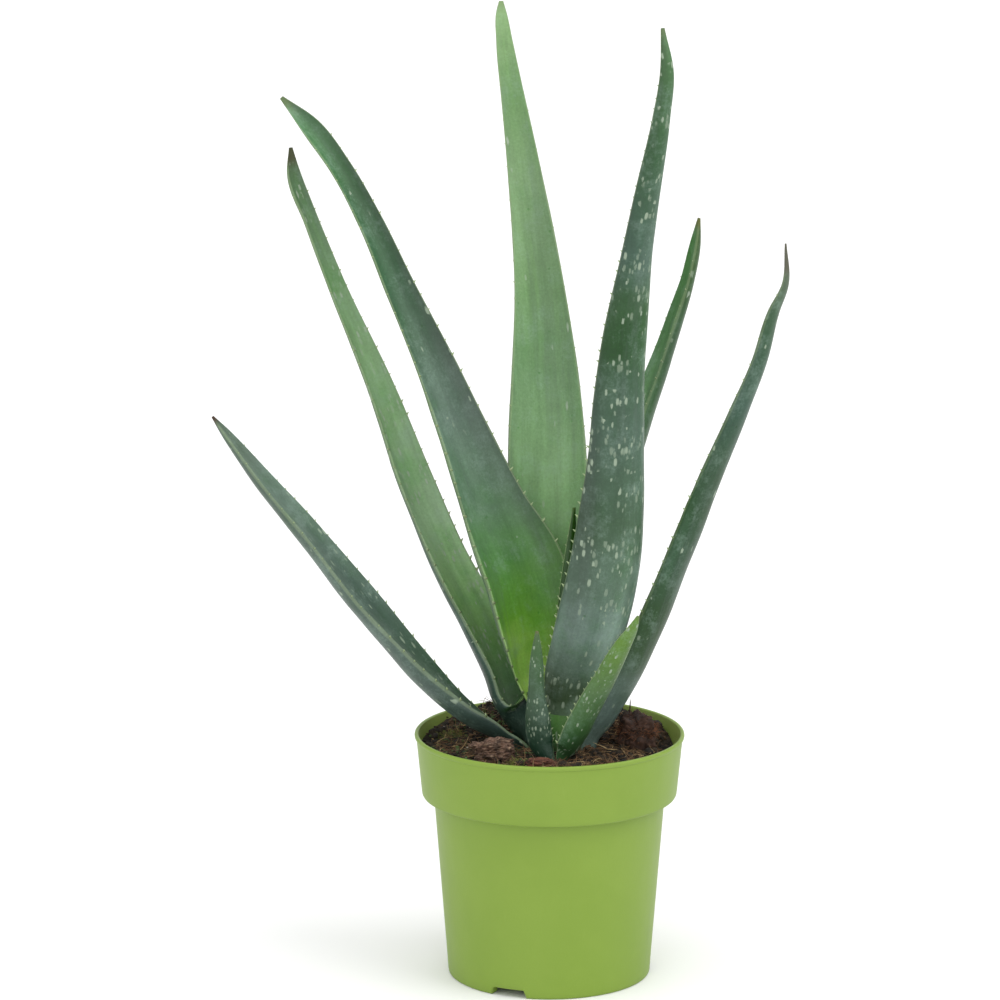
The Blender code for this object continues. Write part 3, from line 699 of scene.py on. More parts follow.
            (-0.0057, -0.0275, 0.1220, 0.0055),
            (-0.0061, -0.0278, 0.1360, 0.0033),
            (-0.0060, -0.0288, 0.1500, 0.0025),
            (-0.0059, -0.0294, 0.1575, 0.0015),
            (-0.0058, -0.0300, 0.1635, 0.0004),
        ),
        "upper": ((0.0, 50, 70, 54), (0.5, 74, 102, 74), (1.0, 100, 124, 84)),
        "under": ((0.0, 48, 70, 60), (0.25, 56, 82, 66), (0.55, 70, 100, 70), (0.85, 76, 114, 64),
                  (1.0, 96, 124, 76)),
        "look": {"Fleck Amount": 0.60, "Fleck Size": 0.44, "Tip": lit(118, 124, 84), "Tip Start": 0.985,
                 "Bloom Amount": 0.3, "Seed": 41.0},
    },
    "offset_leaf_right": {
        "root": (-27, 0.0042, 48),
        "axis": (OFFSET_X, OFFSET_Y),
        "thick": 0.0044,
        "faces": (153, 122, 112),
        "bend": (52, 44, 34),
        "teeth": (0.0040, 0.0016),
        "path": (
            (0.0092, -0.0280, 0.1100, 0.0078),
            (0.0118, -0.0290, 0.1172, 0.0076),
            (0.0165, -0.0310, 0.1280, 0.0065),
            (0.0236, -0.0350, 0.1425, 0.0053),
            (0.0314, -0.0400, 0.1595, 0.0036),
            (0.0361, -0.0432, 0.1690, 0.0017),
            (0.0380, -0.0444, 0.1738, 0.0004),
        ),
        "upper": ((0.0, 56, 84, 50), (0.5, 92, 120, 80), (1.0, 118, 148, 88)),
        "under": ((0.0, 60, 92, 60), (0.22, 68, 100, 66), (0.5, 96, 128, 82), (0.8, 104, 142, 62),
                  (1.0, 112, 146, 66)),
        "look": {"Fleck Amount": 0.80, "Fleck Size": 0.48, "Bloom Amount": 0.3,
                 "Tip": lit(116, 140, 84), "Seed": 43.0},
    },
}


def curve_knots(points):
    """Distance along the points, from 0 to 1, and the whole length."""
    knots = [0.0]
    for a, b in zip(points, points[1:]):
        knots.append(knots[-1] + (Vector(b[:3]) - Vector(a[:3])).length)
    return [knot / knots[-1] for knot in knots], knots[-1]


def knot_slopes(points, knots):
    """The curve's direction at each point, weighted towards the nearer neighbour."""
    steps = []
    for index in range(len(points) - 1):
        width = knots[index + 1] - knots[index]
        steps.append([(b - a) / width for a, b in zip(points[index], points[index + 1])])
    slopes = [steps[0]]
    for index in range(1, len(points) - 1):
        before = knots[index] - knots[index - 1]
        after = knots[index + 1] - knots[index]
        slopes.append([(p * after + q * before) / (before + after)
                       for p, q in zip(steps[index - 1], steps[index])])
    slopes.append(steps[-1])
    return slopes


def smooth_point(points, knots, slopes, at):
    """A value on the smooth curve through the points; at runs from 0 to 1."""
    at = min(max(at, 0.0), 1.0)
    index = 0
    while index < len(points) - 2 and at > knots[index + 1]:
        index += 1
    width = knots[index + 1] - knots[index]
    t = (at - knots[index]) / width
    start = 2 * t ** 3 - 3 * t ** 2 + 1
    end = 1 - start
    lead = (t ** 3 - 2 * t ** 2 + t) * width
    trail = (t ** 3 - t ** 2) * width
    return [start * a + end * b + lead * p + trail * q
            for a, b, p, q in zip(points[index], points[index + 1], slopes[index], slopes[index + 1])]


def met(values, at):
    """Values met at 0, 0.5 and 1; where there are four, the second is met at 0.12."""
    places = (0.0, 0.5, 1.0) if len(values) == 3 else (0.0, 0.12, 0.5, 1.0)
    for index, high in enumerate(places[1:]):
        if at <= high:
            low = places[index]
            return values[index] + (values[index + 1] - values[index]) * (at - low) / (high - low)
    return values[-1]


class Blade:
    """The smooth shape of one leaf: where its sections lie and how they turn."""

    def __init__(self, spec):
        self.spec = spec
        azimuth, radius, half_angle = spec["root"]
        axis = spec.get("axis", (STEM_X, STEM_Y))
        out = Vector((math.cos(math.radians(azimuth)), math.sin(math.radians(azimuth)), 0.0))
        foot = Vector((axis[0], axis[1], LEAF_ROOT_Z)) + out * radius
        width = radius * math.radians(half_angle)
        self.controls = [(foot.x, foot.y, foot.z + rise, width, SHEATH_THICKNESS, half_angle)
                         for rise in spec.get("sheath", FOOT_RISES)]
        widest = max(point[3] for point in spec["path"])
        last = len(spec["path"]) - 1
        for index, (x, y, z, half) in enumerate(spec["path"]):
            grown = min(1.0, 0.55 + index / last * 2.2)
            thick = spec["thick"] * grown * (half / widest) ** 0.75
            self.controls.append((x, y, z, half, thick, met(spec["bend"], index / last)))
        self.knots, self.length = curve_knots(self.controls)
        self.slopes = knot_slopes(self.controls, self.knots)

    def value(self, at):
        return smooth_point(self.controls, self.knots, self.slopes, at)

    def section(self, at):
        """Middle, along, upper and side directions, half width, thickness and half angle."""
        x, y, z, half, thick, bend = self.value(at)
        before = Vector(self.value(at - 0.004)[:3])
        after = Vector(self.value(at + 0.004)[:3])
        along = (after - before).normalized()
        face = math.radians(met(self.spec["faces"], at))
        upper = Vector((math.cos(face), math.sin(face), 0.0))
        upper = (upper - along * upper.dot(along)).normalized()
        side = along.cross(upper)
        half = max(half, LEAST_HALF_WIDTH)
        thick = max(thick, LEAST_THICKNESS)
        return Vector((x, y, z)), along, upper, side, half, thick, math.radians(bend)

    @staticmethod
    def place(middle, upper, side, half, thick, bend, share, under):
        """A place on the upper side, or under it by the leaf's own thickness, and its normal."""
        radius = half / bend
        angle = share * bend
        inward = upper * math.cos(angle) - side * math.sin(angle)
        spot = middle + upper * radius - inward * radius
        if under <= 0.0:
            return spot, inward
        edge = min(MARGIN_THICKNESS, 0.45 * thick)
        depth = edge + (thick - edge) * math.sqrt(max(0.0, 1.0 - share * share))
        return spot - inward * depth * under, -inward


def ring_places():
    """(share across, depth under) round one section, finer towards the margins."""
    places = []
    for step in range(RING_TOP):
        places.append((-math.cos(math.pi * step / (RING_TOP - 1)), 0.0))
    places.append((1.0, 0.5))
    for step in range(RING_UNDER):
        places.append((math.cos(math.pi * step / (RING_UNDER - 1)), 1.0))
    places.append((-1.0, 0.5))
    return places


def drawn_out(bm, edges):
    """Extrudes a ring of edges; gives the new ring's corners and edges."""
    grown = bmesh.ops.extrude_edge_only(bm, edges=edges)["geom"]
    verts = [item for item in grown if isinstance(item, bmesh.types.BMVert)]
    edges = [item for item in grown if isinstance(item, bmesh.types.BMEdge)
             and item.verts[0] in verts and item.verts[1] in verts]
    return verts, edges


def mark_vertex(vert, layers, place, zone):
    vert[layers[0]] = Vector(place)
    vert[layers[1]] = Vector(zone)


def add_tooth(bm, layers, blade, at, share, size):
    """One soft tooth on the margin: a small cone, leaning towards the leaf's tip."""
    middle, along, upper, side, half, thick, bend = blade.section(at)
    spot, inward = Blade.place(middle, upper, side, half, thick, bend, share, 0.5)
    angle = share * bend
    outward = (side * share * math.cos(angle) + upper * abs(math.sin(angle))).normalized()
    lean = (outward + along * 0.30).normalized()
    turn = lean.to_track_quat("Z", "Y").to_matrix().to_4x4()
    place = Matrix.Translation(spot + lean * size * 0.36) @ turn
    made = bmesh.ops.create_cone(bm, cap_ends=True, segments=TOOTH_SIDES, radius1=size * 0.40,
                                 radius2=size * 0.05, depth=size, matrix=place)
    for vert in made["verts"]:
        rise = max(0.0, (vert.co - spot).dot(lean) / size)
        vert.co += along * size * 0.35 * rise * rise
        mark_vertex(vert, layers, (share * half, at * blade.length, 0.5), (at, 1.0, 1.0))


def leaf_mesh(name, spec, seed):
    """A ring of corners, drawn out along the leaf section by section, then closed and toothed."""
    blade = Blade(spec)
    places = ring_places()
    bm = bmesh.new()
    slot = bm.verts.layers.int.new("ring_slot")
    layers = (bm.verts.layers.float_vector.new("leaf_place"),
              bm.verts.layers.float_vector.new("leaf_zone"))
    made = bmesh.ops.create_circle(bm, cap_ends=False, segments=len(places), radius=0.01)
    for index, vert in enumerate(made["verts"]):
        vert[slot] = index
    verts = made["verts"]
    edges = bm.edges[:]
    for step in range(LEAF_STEPS + 1):
        even = step / LEAF_STEPS
        at = 0.6 * even + 0.2 * (1.0 - math.cos(math.pi * even))
        if step > 0:
            verts, edges = drawn_out(bm, edges)
        middle, along, upper, side, half, thick, bend = blade.section(at)
        for vert in verts:
            share, under = places[vert[slot]]
            spot, out = Blade.place(middle, upper, side, half, thick, bend, share, under)
            ripple = noise.noise(Vector((spot.x * 70.0, spot.y * 70.0, spot.z * 38.0 + seed)))
            spot += out * ripple * RIPPLE * min(1.0, half / 0.006)
            if 0.0 < under < 1.0:
                spot += (side * share) * 0.00025
            vert.co = spot
            mark_vertex(vert, layers, (share * half, at * blade.length, 1.0 if under >= 1.0 else under),
                        (at, abs(share), 0.0))
        if step == 0:
            foot_edges = list(edges)
    bmesh.ops.contextual_create(bm, geom=foot_edges)
    bmesh.ops.contextual_create(bm, geom=edges)
    bmesh.ops.recalc_face_normals(bm, faces=bm.faces)
    add_teeth(bm, layers, blade, spec["teeth"], seed)
    return finish_mesh(name, bm)


def add_teeth(bm, layers, blade, teeth, seed):
    spacing, size = teeth
    rng = random.Random(seed)
    for share in (-1.0, 1.0):
        travelled = BARE_FOOT if blade.length > SHORT_LEAF else SHORT_BARE_FOOT
        while travelled < blade.length * LAST_TOOTH:
            at = travelled / blade.length
            shrink = 1.0 - 0.55 * at
            add_tooth(bm, layers, blade, at, share, size * shrink * rng.uniform(0.75, 1.2))
            travelled += spacing * rng.uniform(0.75, 1.25)


def finish_mesh(name, bm):
    mesh = bpy.data.meshes.new(name)
    for face in bm.faces:
        face.smooth = True
    bm.to_mesh(mesh)
    bm.free()
    return mesh


def add_piece(name, mesh, surface, replaces=()):
    """Puts a finished mesh in the scene, on the part's one body and in its material slot."""
    made = bpy.data.objects.new(name, mesh)
    bpy.context.scene.collection.objects.link(made)
    mesh.materials.append(surface)
    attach(made, "root")
    if replaces:
        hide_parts(*replaces)
    return made


def make_leaves():
    for index, (name, spec) in enumerate(LEAVES.items()):
        mesh = leaf_mesh(name + "_blade", spec, index * 13.7 + 2.0)
        skin = leaf_material(name + "_skin", spec)
        add_piece(name + "_blade", mesh, skin, replaces=(name,))


# ---- pot ----
POT_STEPS = 216
NOTCH_HALF_DEG = 9.6
FIRST_NOTCH_DEG = -114.0
NOTCH_HEIGHT = 0.0036
DRAIN_CIRCLE = 0.0280
DRAIN_RADIUS = 0.0035
FLOOR_RING_GAP = 0.0022
SHARP_DEG = 38.0


def floor_line(height):
    """Rings across the floor's band of drain holes, from the inner one to the outer one."""
    return [(DRAIN_CIRCLE + step * FLOOR_RING_GAP, height) for step in (-2, -1, 0, 1, 2)]


def pot_outline():
    """The wall's section, inner floor to rim to foot to the middle of the underside."""
    floor_z = FLOOR_UNDER_Z + FLOOR_THICK
    top = POT_HEIGHT
    step_z = COLLAR_LOW_Z
    inner_floor = [
        (0.0, floor_z), *floor_line(floor_z), (BODY_LOW_IN - 0.0030, floor_z),
        (BODY_LOW_IN - 0.0006, floor_z + 0.0008), (BODY_LOW_IN + 0.0002, floor_z + 0.0030),
    ]
    inner_wall = [
        (BODY_TOP_IN, step_z - 0.0012), (BODY_TOP_IN + 0.0006, step_z + 0.0012),
        (COLLAR_LOW_IN - 0.0012, step_z + 0.0012), (COLLAR_LOW_IN, step_z + 0.0026),
        (COLLAR_TOP_RADIUS - WALL, top - 0.0012),
    ]
    rim = [
        (COLLAR_TOP_RADIUS - 0.0009, top - 0.0004), (COLLAR_TOP_RADIUS - 0.0005, top - 0.0001),
        (COLLAR_TOP_RADIUS, top), (RIM_RADIUS - 0.0004, top - 0.0001),
        (RIM_RADIUS - 0.0001, top - 0.0005), (RIM_RADIUS, top - 0.0010),
        (RIM_RADIUS - 0.0001, top - 0.0016), (COLLAR_TOP_RADIUS + 0.0004, top - 0.0021),
        (COLLAR_TOP_RADIUS, top - 0.0024), (COLLAR_TOP_RADIUS - 0.0001, top - 0.0032),
    ]
    collar_step = [
        (COLLAR_LOW_RADIUS + 0.0002, step_z + 0.0024), (COLLAR_LOW_RADIUS, step_z + 0.0009),
        (COLLAR_LOW_RADIUS - 0.0003, step_z + 0.0003), (COLLAR_LOW_RADIUS - 0.0009, step_z),
        (BODY_TOP_RADIUS + 0.0005, step_z), (BODY_TOP_RADIUS + 0.0001, step_z - 0.0003),
        (BODY_TOP_RADIUS, step_z - 0.0009),
    ]
    foot = [
        (BODY_LOW_RADIUS + 0.0002, 0.0060), (BODY_LOW_RADIUS + 0.0001, 0.0040),
        (BODY_LOW_RADIUS - 0.0001, 0.0014), (FOOT_RADIUS + 0.0003, 0.0004), (FOOT_RADIUS, 0.0),
        (FOOT_INNER_RADIUS, 0.0), (FOOT_INNER_RADIUS - 0.0003, FLOOR_UNDER_Z),
    ]
    underside = [
        *reversed(floor_line(FLOOR_UNDER_Z)),
        (PAD_RADIUS + 0.0003, FLOOR_UNDER_Z), (PAD_RADIUS, 0.0), (0.0, 0.0),
    ]
    return inner_floor + inner_wall + rim + collar_step + foot + underside


def spun(bm, outline, steps):
    """Turns an outline at +X round the Z axis into a closed skin."""
    corners = [bm.verts.new((x, 0.0, z)) for x, z in outline]
    edges = [bm.edges.new(pair) for pair in zip(corners, corners[1:])]
    bmesh.ops.spin(bm, geom=corners + edges, axis=(0, 0, 1), cent=(0, 0, 0),
                   angle=math.tau, steps=steps, use_merge=True)
    bmesh.ops.remove_doubles(bm, verts=bm.verts, dist=0.00001)
    bmesh.ops.recalc_face_normals(bm, faces=bm.faces)


def raise_notches(bm):
    """Lifts the foot ring's underside over three short stretches."""
    for vert in bm.verts:
        radius = math.hypot(vert.co.x, vert.co.y)
        if vert.co.z > NOTCH_HEIGHT or radius < FOOT_INNER_RADIUS - 0.001:
            continue
        angle = math.degrees(math.atan2(vert.co.y, vert.co.x)) - FIRST_NOTCH_DEG
        if abs((angle + 60.0) % 120.0 - 60.0) < NOTCH_HALF_DEG:
            vert.co.z = NOTCH_HEIGHT


def cut_drains(bm):
    """Opens six round holes through the floor and walls them."""
    for index in range(6):
        angle = math.radians(30.0 + 60.0 * index)
        centre = Vector((DRAIN_CIRCLE * math.cos(angle), DRAIN_CIRCLE * math.sin(angle), 0.0))
        doomed = []
        for face in bm.faces:
            middle = face.calc_center_median()
            if middle.z < 0.007 and abs(face.normal.z) > 0.9:
                if (Vector((middle.x, middle.y, 0.0)) - centre).length < DRAIN_RADIUS:
                    doomed.append(face)
        bmesh.ops.delete(bm, geom=doomed, context="FACES")
        rim = [edge for edge in bm.edges if edge.is_boundary]
        for vert in {vert for edge in rim for vert in edge.verts}:
            away = Vector((vert.co.x, vert.co.y, 0.0)) - centre
            away = away.normalized() * DRAIN_RADIUS
            vert.co = Vector((centre.x + away.x, centre.y + away.y, vert.co.z))
        bmesh.ops.bridge_loops(bm, edges=rim)


def pot_material():
    made, tree, shader, spot, soft = grainy_material(
        "pot_green_plastic", paint(122, 149, 50), paint(116, 144, 44), 26.0, 1400.0, 0.6, 0.25)
    lines = cloud(tree, stretched(tree, spot, (30.0, 30.0, 420.0)), 1.0, 3.0, 0.6)
    scuff = cloud(tree, stretched(tree, spot, (160.0, 160.0, 40.0)), 1.0, 5.0, 0.7)
    rubbed = times(tree, stepped(tree, scuff, 0.62, 0.78), 0.16)
    tone = mixed_colour(tree, rubbed, soft["Colour"], paint(148, 172, 86))
    # A lighter green on the collar's inner wall: painted light where that wall stands in shade.
    east, north, up = split(tree, spot)
    squared = maths(tree, "ADD", times(tree, east, east), times(tree, north, north))
    radius = maths(tree, "SQRT", squared)
    slope = (COLLAR_TOP_RADIUS - COLLAR_LOW_RADIUS) / (POT_HEIGHT - COLLAR_LOW_Z)
    outside = times_plus(tree, up, slope, COLLAR_LOW_RADIUS - COLLAR_LOW_Z * slope)
    depth = maths(tree, "SUBTRACT", outside, radius)
    inner = times(tree, stepped(tree, depth, 0.0007, 0.0010),
                  stepped(tree, up, COLLAR_LOW_Z + 0.002, COLLAR_LOW_Z + 0.004))
    tone = mixed_colour(tree, inner, tone, paint(150, 172, 84))
    rough = times_plus(tree, scuff, 0.14, 0.40)
    height = times_plus(tree, lines, 0.5, soft["Height"])
    dress(tree, shader, tone, rough, height, 0.12, 0.0003)
    shader.inputs["IOR"].default_value = 1.47
    return made


def sharpen(bm, degrees):
    """Marks the edges that turn by more than this as crisp."""
    limit = math.radians(degrees)
    for edge in bm.edges:
        if len(edge.link_faces) == 2 and edge.calc_face_angle(0.0) > limit:
            edge.smooth = False


def make_pot():
    bm = bmesh.new()
    spun(bm, pot_outline(), POT_STEPS)
    cut_drains(bm)
    raise_notches(bm)
    bmesh.ops.recalc_face_normals(bm, faces=bm.faces)
    sharpen(bm, SHARP_DEG)
    mesh = finish_mesh("pot_shell", bm)
    add_piece("pot_shell", mesh, pot_material(), replaces=("pot",))


# ---- soil ----
SOIL_RADIUS = 0.0573
SOIL_RINGS = 64
SOIL_STEPS = 256
MOUNDS = (
    # rise, middle across, middle back, spread
    (0.0085, -0.024, 0.032, 0.014),
    (0.0060, 0.030, 0.034, 0.013),
    (-0.0060, 0.054, 0.004, 0.009),
    (-0.0022, -0.020, 0.000, 0.008),
)


def hump(x, y, centre_x, centre_y, spread):
    return math.exp(-((x - centre_x) ** 2 + (y - centre_y) ** 2) / (2.0 * spread * spread))


def soil_height(x, y):
    """Height of the soil's broad surface: mounds behind, a dip at the right wall."""
    height = SOIL_LEVEL
    for rise, centre_x, centre_y, spread in MOUNDS:
        height += rise * hump(x, y, centre_x, centre_y, spread)
    return height


def crumbly(x, y):
    """Clods and crumbs on top of the broad surface."""
    clods = noise.turbulence(Vector((x * 95.0, y * 95.0, 0.3)), 4, True)
    fine = noise.noise(Vector((x * 900.0, y * 900.0, 0.0)))
    return (clods - 0.45) * 0.0040 + fine * 0.00040


def ground(x, y):
    return soil_height(x, y) + crumbly(x, y)


def collar_inner_radius(z):
    """The radius of the collar's inner wall at a height."""
    low_z = COLLAR_LOW_Z + 0.0026
    share = (z - low_z) / (POT_HEIGHT - 0.0012 - low_z)
    return COLLAR_LOW_IN + share * (COLLAR_TOP_RADIUS - COLLAR_LOW_RADIUS)


def soil_material(name, colour, shade):
    made, tree, shader, spot, soft = grainy_material(name, colour, shade, 170.0, 1900.0, 0.9, 0.6)
    tint = stepped(tree, cloud(tree, spot, 90.0, 3.0, 0.6), 0.55, 0.75)
    tone = mixed_colour(tree, times(tree, tint, 0.55), soft["Colour"], paint(86, 62, 36))
    pale = stepped(tree, cloud(tree, spot, 1300.0, 2.0, 0.5), 0.66, 0.74)
    tone = mixed_colour(tree, times(tree, pale, 0.35), tone, paint(150, 126, 88))
    dress(tree, shader, tone, 0.92, soft["Height"], 0.8, 0.0012)
    return made


def make_soil(surface):
    """A turned fill for the pot; its flat top is then raised into mounds, clods and crumbs."""
    bm = bmesh.new()
    top = [(SOIL_RADIUS * (step / SOIL_RINGS), SOIL_LEVEL) for step in range(SOIL_RINGS + 1)]
    floor_z = FLOOR_UNDER_Z + FLOOR_THICK + 0.0003
    side = [
        (COLLAR_LOW_IN - 0.0006, COLLAR_LOW_Z + 0.0030),
        (COLLAR_LOW_IN - 0.0016, COLLAR_LOW_Z + 0.0017),
        (BODY_TOP_IN + 0.0004, COLLAR_LOW_Z + 0.0017), (BODY_TOP_IN - 0.0006, COLLAR_LOW_Z - 0.0002),
        (BODY_LOW_IN - 0.0004, floor_z + 0.0034), (BODY_LOW_IN - 0.0012, floor_z + 0.0008),
        (BODY_LOW_IN - 0.0034, floor_z), (0.0, floor_z),
    ]
    spun(bm, top + side, SOIL_STEPS)
    for vert in bm.verts:
        if abs(vert.co.z - SOIL_LEVEL) > 0.0001:
            continue
        x, y = vert.co.x, vert.co.y
        radius = math.hypot(x, y)
        fade = min(1.0, max(0.0, (0.0575 - radius) / 0.003))
        vert.co.z = soil_height(x, y) + crumbly(x, y) * fade
        limit = collar_inner_radius(vert.co.z) - 0.0004
        if radius > limit:
            vert.co.x *= limit / radius
            vert.co.y *= limit / radius
        else:
            vert.co.x += noise.noise(Vector((x * 400.0, y * 400.0, 5.0))) * 0.0004
            vert.co.y += noise.noise(Vector((x * 400.0, y * 400.0, 9.0))) * 0.0004
    bmesh.ops.recalc_face_normals(bm, faces=bm.faces)
    add_piece("soil_bed", finish_mesh("soil_bed", bm), surface, replaces=("soil",))


def stem_material():
    made, tree, shader, spot, soft = grainy_material(
        "stem_flesh_skin", paint(150, 152, 108), paint(96, 82, 56), 140.0, 1600.0, 0.8, 0.4)
    rings = cloud(tree, stretched(tree, spot, (60.0, 60.0, 900.0)), 1.0, 3.0, 0.6)
    tone = mixed_colour(tree, stepped(tree, rings, 0.52, 0.70), soft["Colour"], paint(88, 66, 44))
    height = times_plus(tree, rings, 0.8, soft["Height"])
    dress(tree, shader, tone, 0.7, height, 0.5, 0.0005)
    return made


def make_stem():
    """The short stump in the middle of the rosette, ringed by the scars of old leaves."""
    radius = (STEM_HIGH[0] - STEM_LOW[0]) / 2.0
    low, high = STEM_LOW[2], STEM_HIGH[2]
    outline = [(0.0, high), (radius * 0.70, high), (radius * 0.94, high - 0.0012)]
    scars = 9
    for index in range(scars):
        z = high - 0.0016 - (high - low - 0.009) * index / scars
        taper = 1.0 - 0.10 * index / scars
        outline.append((radius * taper, z))
        outline.append((radius * taper * 0.93, z - 0.0016))
    outline += [(radius * 0.62, low + 0.0022), (radius * 0.40, low), (0.0, low)]
    bm = bmesh.new()
    spun(bm, outline, 96)
    for vert in bm.verts:
        spot = Vector((vert.co.x * 260.0, vert.co.y * 260.0, vert.co.z * 190.0))
        bulge = 1.0 - 0.05 * abs(noise.noise(spot))
        vert.co.x *= bulge
        vert.co.y *= bulge
    bmesh.ops.translate(bm, verts=bm.verts, vec=(STEM_X, STEM_Y, 0.0))
    bmesh.ops.recalc_face_normals(bm, faces=bm.faces)
    mesh = finish_mesh("stem_stump", bm)
    add_piece("stem_stump", mesh, stem_material(), replaces=("stem",))


BATCH = 40


def in_batches(count, build):
    """Builds many small shapes a few at a time and gathers them into one mesh."""
    whole = bmesh.new()
    for start in range(0, count, BATCH):
        part = bmesh.new()
        for _ in range(min(BATCH, count - start)):
            build(part)
        batch = bpy.data.meshes.new("batch")
        part.to_mesh(batch)
        part.free()
        whole.from_mesh(batch)
        bpy.data.meshes.remove(batch)
    return whole


def random_spot(rng, outer=0.0565):
    """An even scatter over a disc round the pot's axis."""
    radius = math.sqrt(rng.uniform(0.0, outer ** 2))
    angle = rng.uniform(0.0, math.tau)
    return radius * math.cos(angle), radius * math.sin(angle)


def add_crumb(bm, rng, x, y, size, detail=1):
    made = bmesh.ops.create_icosphere(bm, subdivisions=detail, radius=size)
    turn = Matrix.Rotation(rng.uniform(0, math.tau), 3, (rng.random(), rng.random(), rng.random() + 0.1))
    squash = Vector((rng.uniform(0.7, 1.3), rng.uniform(0.7, 1.3), rng.uniform(0.5, 0.9)))
    shift = rng.uniform(0.0, 50.0)
    for vert in made["verts"]:
        lump = 1.0 + 0.45 * noise.noise(vert.co / size * 1.3 + Vector((shift, 0.0, 0.0)))
        spot = turn @ (vert.co * lump)
        vert.co = Vector((x + spot.x * squash.x, y + spot.y * squash.y,
                          ground(x, y) + size * 0.25 + spot.z * squash.z))


def make_crumbs(name, count, low, high, surface, seed, detail=1, area=None):
    rng = random.Random(seed)

    def build(bm):
        x, y = random_spot(rng) if area is None else area(rng)
        add_crumb(bm, rng, x, y, rng.uniform(low, high), detail)

    add_piece(name, finish_mesh(name, in_batches(count, build)), surface)


def add_strand(bm, start, heading, length, radius, rng, curl=0.5, lift=0.0, steps=6, sides=4):
    """A thin bent fibre, drawn out from a small ring."""
    turn = heading.to_track_quat("Z", "Y").to_matrix().to_4x4()
    made = bmesh.ops.create_circle(bm, cap_ends=False, segments=sides, radius=radius,
                                   matrix=Matrix.Translation(start) @ turn)
    verts = made["verts"]
    edges = list({edge for vert in verts for edge in vert.link_edges})
    bmesh.ops.contextual_create(bm, geom=edges)
    here = start.copy()
    bend = Vector((rng.uniform(-1, 1), rng.uniform(-1, 1), rng.uniform(-0.5, 0.5))) * curl
    for step in range(steps):
        heading = (heading + bend / steps + Vector((0, 0, lift / steps))).normalized()
        verts, edges = drawn_out(bm, edges)
        move = heading * (length / steps)
        here += move
        for vert in verts:
            vert.co += move
            vert.co = here + (vert.co - here) * (0.86 if step < steps - 1 else 0.35)
    bmesh.ops.contextual_create(bm, geom=edges)


def fibre_material(name, colour, shade):
    made, tree, shader, _, soft = grainy_material(name, colour, shade, 220.0, 2500.0, 0.8, 0.4)
    dress(tree, shader, soft["Colour"], 0.8, soft["Height"], 0.4, 0.0004)
    return made


def make_fibres(name, count, surface, seed, longest=0.012):
    rng = random.Random(seed)

    def build(bm):
        x, y = random_spot(rng, outer=0.0535)
        angle = rng.uniform(0, math.tau)
        if math.hypot(x, y) > 0.044:
            angle = math.atan2(-y, -x) + rng.uniform(-1.2, 1.2)
        heading = Vector((math.cos(angle), math.sin(angle), rng.uniform(0.0, 0.6))).normalized()
        start = Vector((x, y, ground(x, y) + 0.0003))
        add_strand(bm, start, heading, rng.uniform(0.003, longest), rng.uniform(0.00010, 0.00026),
                   rng, curl=1.6, lift=-0.4)

    add_piece(name, finish_mesh(name, in_batches(count, build)), surface)


# ---- bark, peat clump, moss and root ----
def rough_lump(name, centre, size, turn, seed, folds, detail=5):
    """A block, finely divided, rounded, folded and pitted into a torn piece of bark or peat."""
    bm = bmesh.new()
    bmesh.ops.create_cube(bm, size=1.0)
    bmesh.ops.subdivide_edges(bm, edges=bm.edges[:], cuts=2 ** detail - 1, use_grid_fill=True)
    spin = Matrix.Rotation(math.radians(turn), 3, "Z")
    for vert in bm.verts:
        ball = vert.co.normalized()
        shape = vert.co.lerp(ball * 0.62, 0.72)
        lump = noise.fractal(ball * 1.6 + Vector((seed, 0, 0)), 1.0, 2.0, 3)
        ridge = abs(noise.noise(Vector((ball.x * 2.0 + seed, ball.y * 5.0, ball.z * 5.0))))
        pit = noise.noise(ball * 9.0 + Vector((0, seed, 0)))
        scale = 1.0 + 0.30 * lump - folds * ridge + 0.05 * pit
        local = Vector((shape.x * size[0], shape.y * size[1], shape.z * size[2])) * scale
        vert.co = spin @ local + Vector(centre)
    bmesh.ops.recalc_face_normals(bm, faces=bm.faces)
    return finish_mesh(name, bm)


def bark_material(name, colour, shade, pale):
    made, tree, shader, spot, soft = grainy_material(name, colour, shade, 320.0, 2200.0, 0.85, 0.4)
    strata = cloud(tree, stretched(tree, spot, (300.0, 900.0, 1400.0)), 1.0, 4.0, 0.65)
    tone = mixed_colour(tree, stepped(tree, strata, 0.5, 0.72), soft["Colour"], pale)
    height = times_plus(tree, strata, 1.2, soft["Height"])
    dress(tree, shader, tone, 0.85, height, 0.8, 0.0010)
    return made


def box_middle(node):
    low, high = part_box(node)
    return [(a + b) / 2.0 for a, b in zip(low, high)], [b - a for a, b in zip(low, high)]


def make_bark():
    middle, size = box_middle("bark_chunk")
    surface = bark_material("bark_brown", paint(128, 98, 80), paint(52, 38, 30), paint(172, 144, 120))
    block = (size[0] * 0.70, size[1] * 0.74, size[2] * 1.02)
    mesh = rough_lump("bark_chunk_torn", middle, block, 14.0, 3.1, 0.75)
    add_piece("bark_chunk_torn", mesh, surface, replaces=("bark_chunk",))
    middle, size = box_middle("bark_chip")
    surface = bark_material("bark_red", paint(116, 66, 46), paint(62, 34, 26), paint(146, 96, 72))
    mesh = rough_lump("bark_chip_torn", middle, size, -6.0, 8.4, 0.35, detail=4)
    add_piece("bark_chip_torn", mesh, surface, replaces=("bark_chip",))


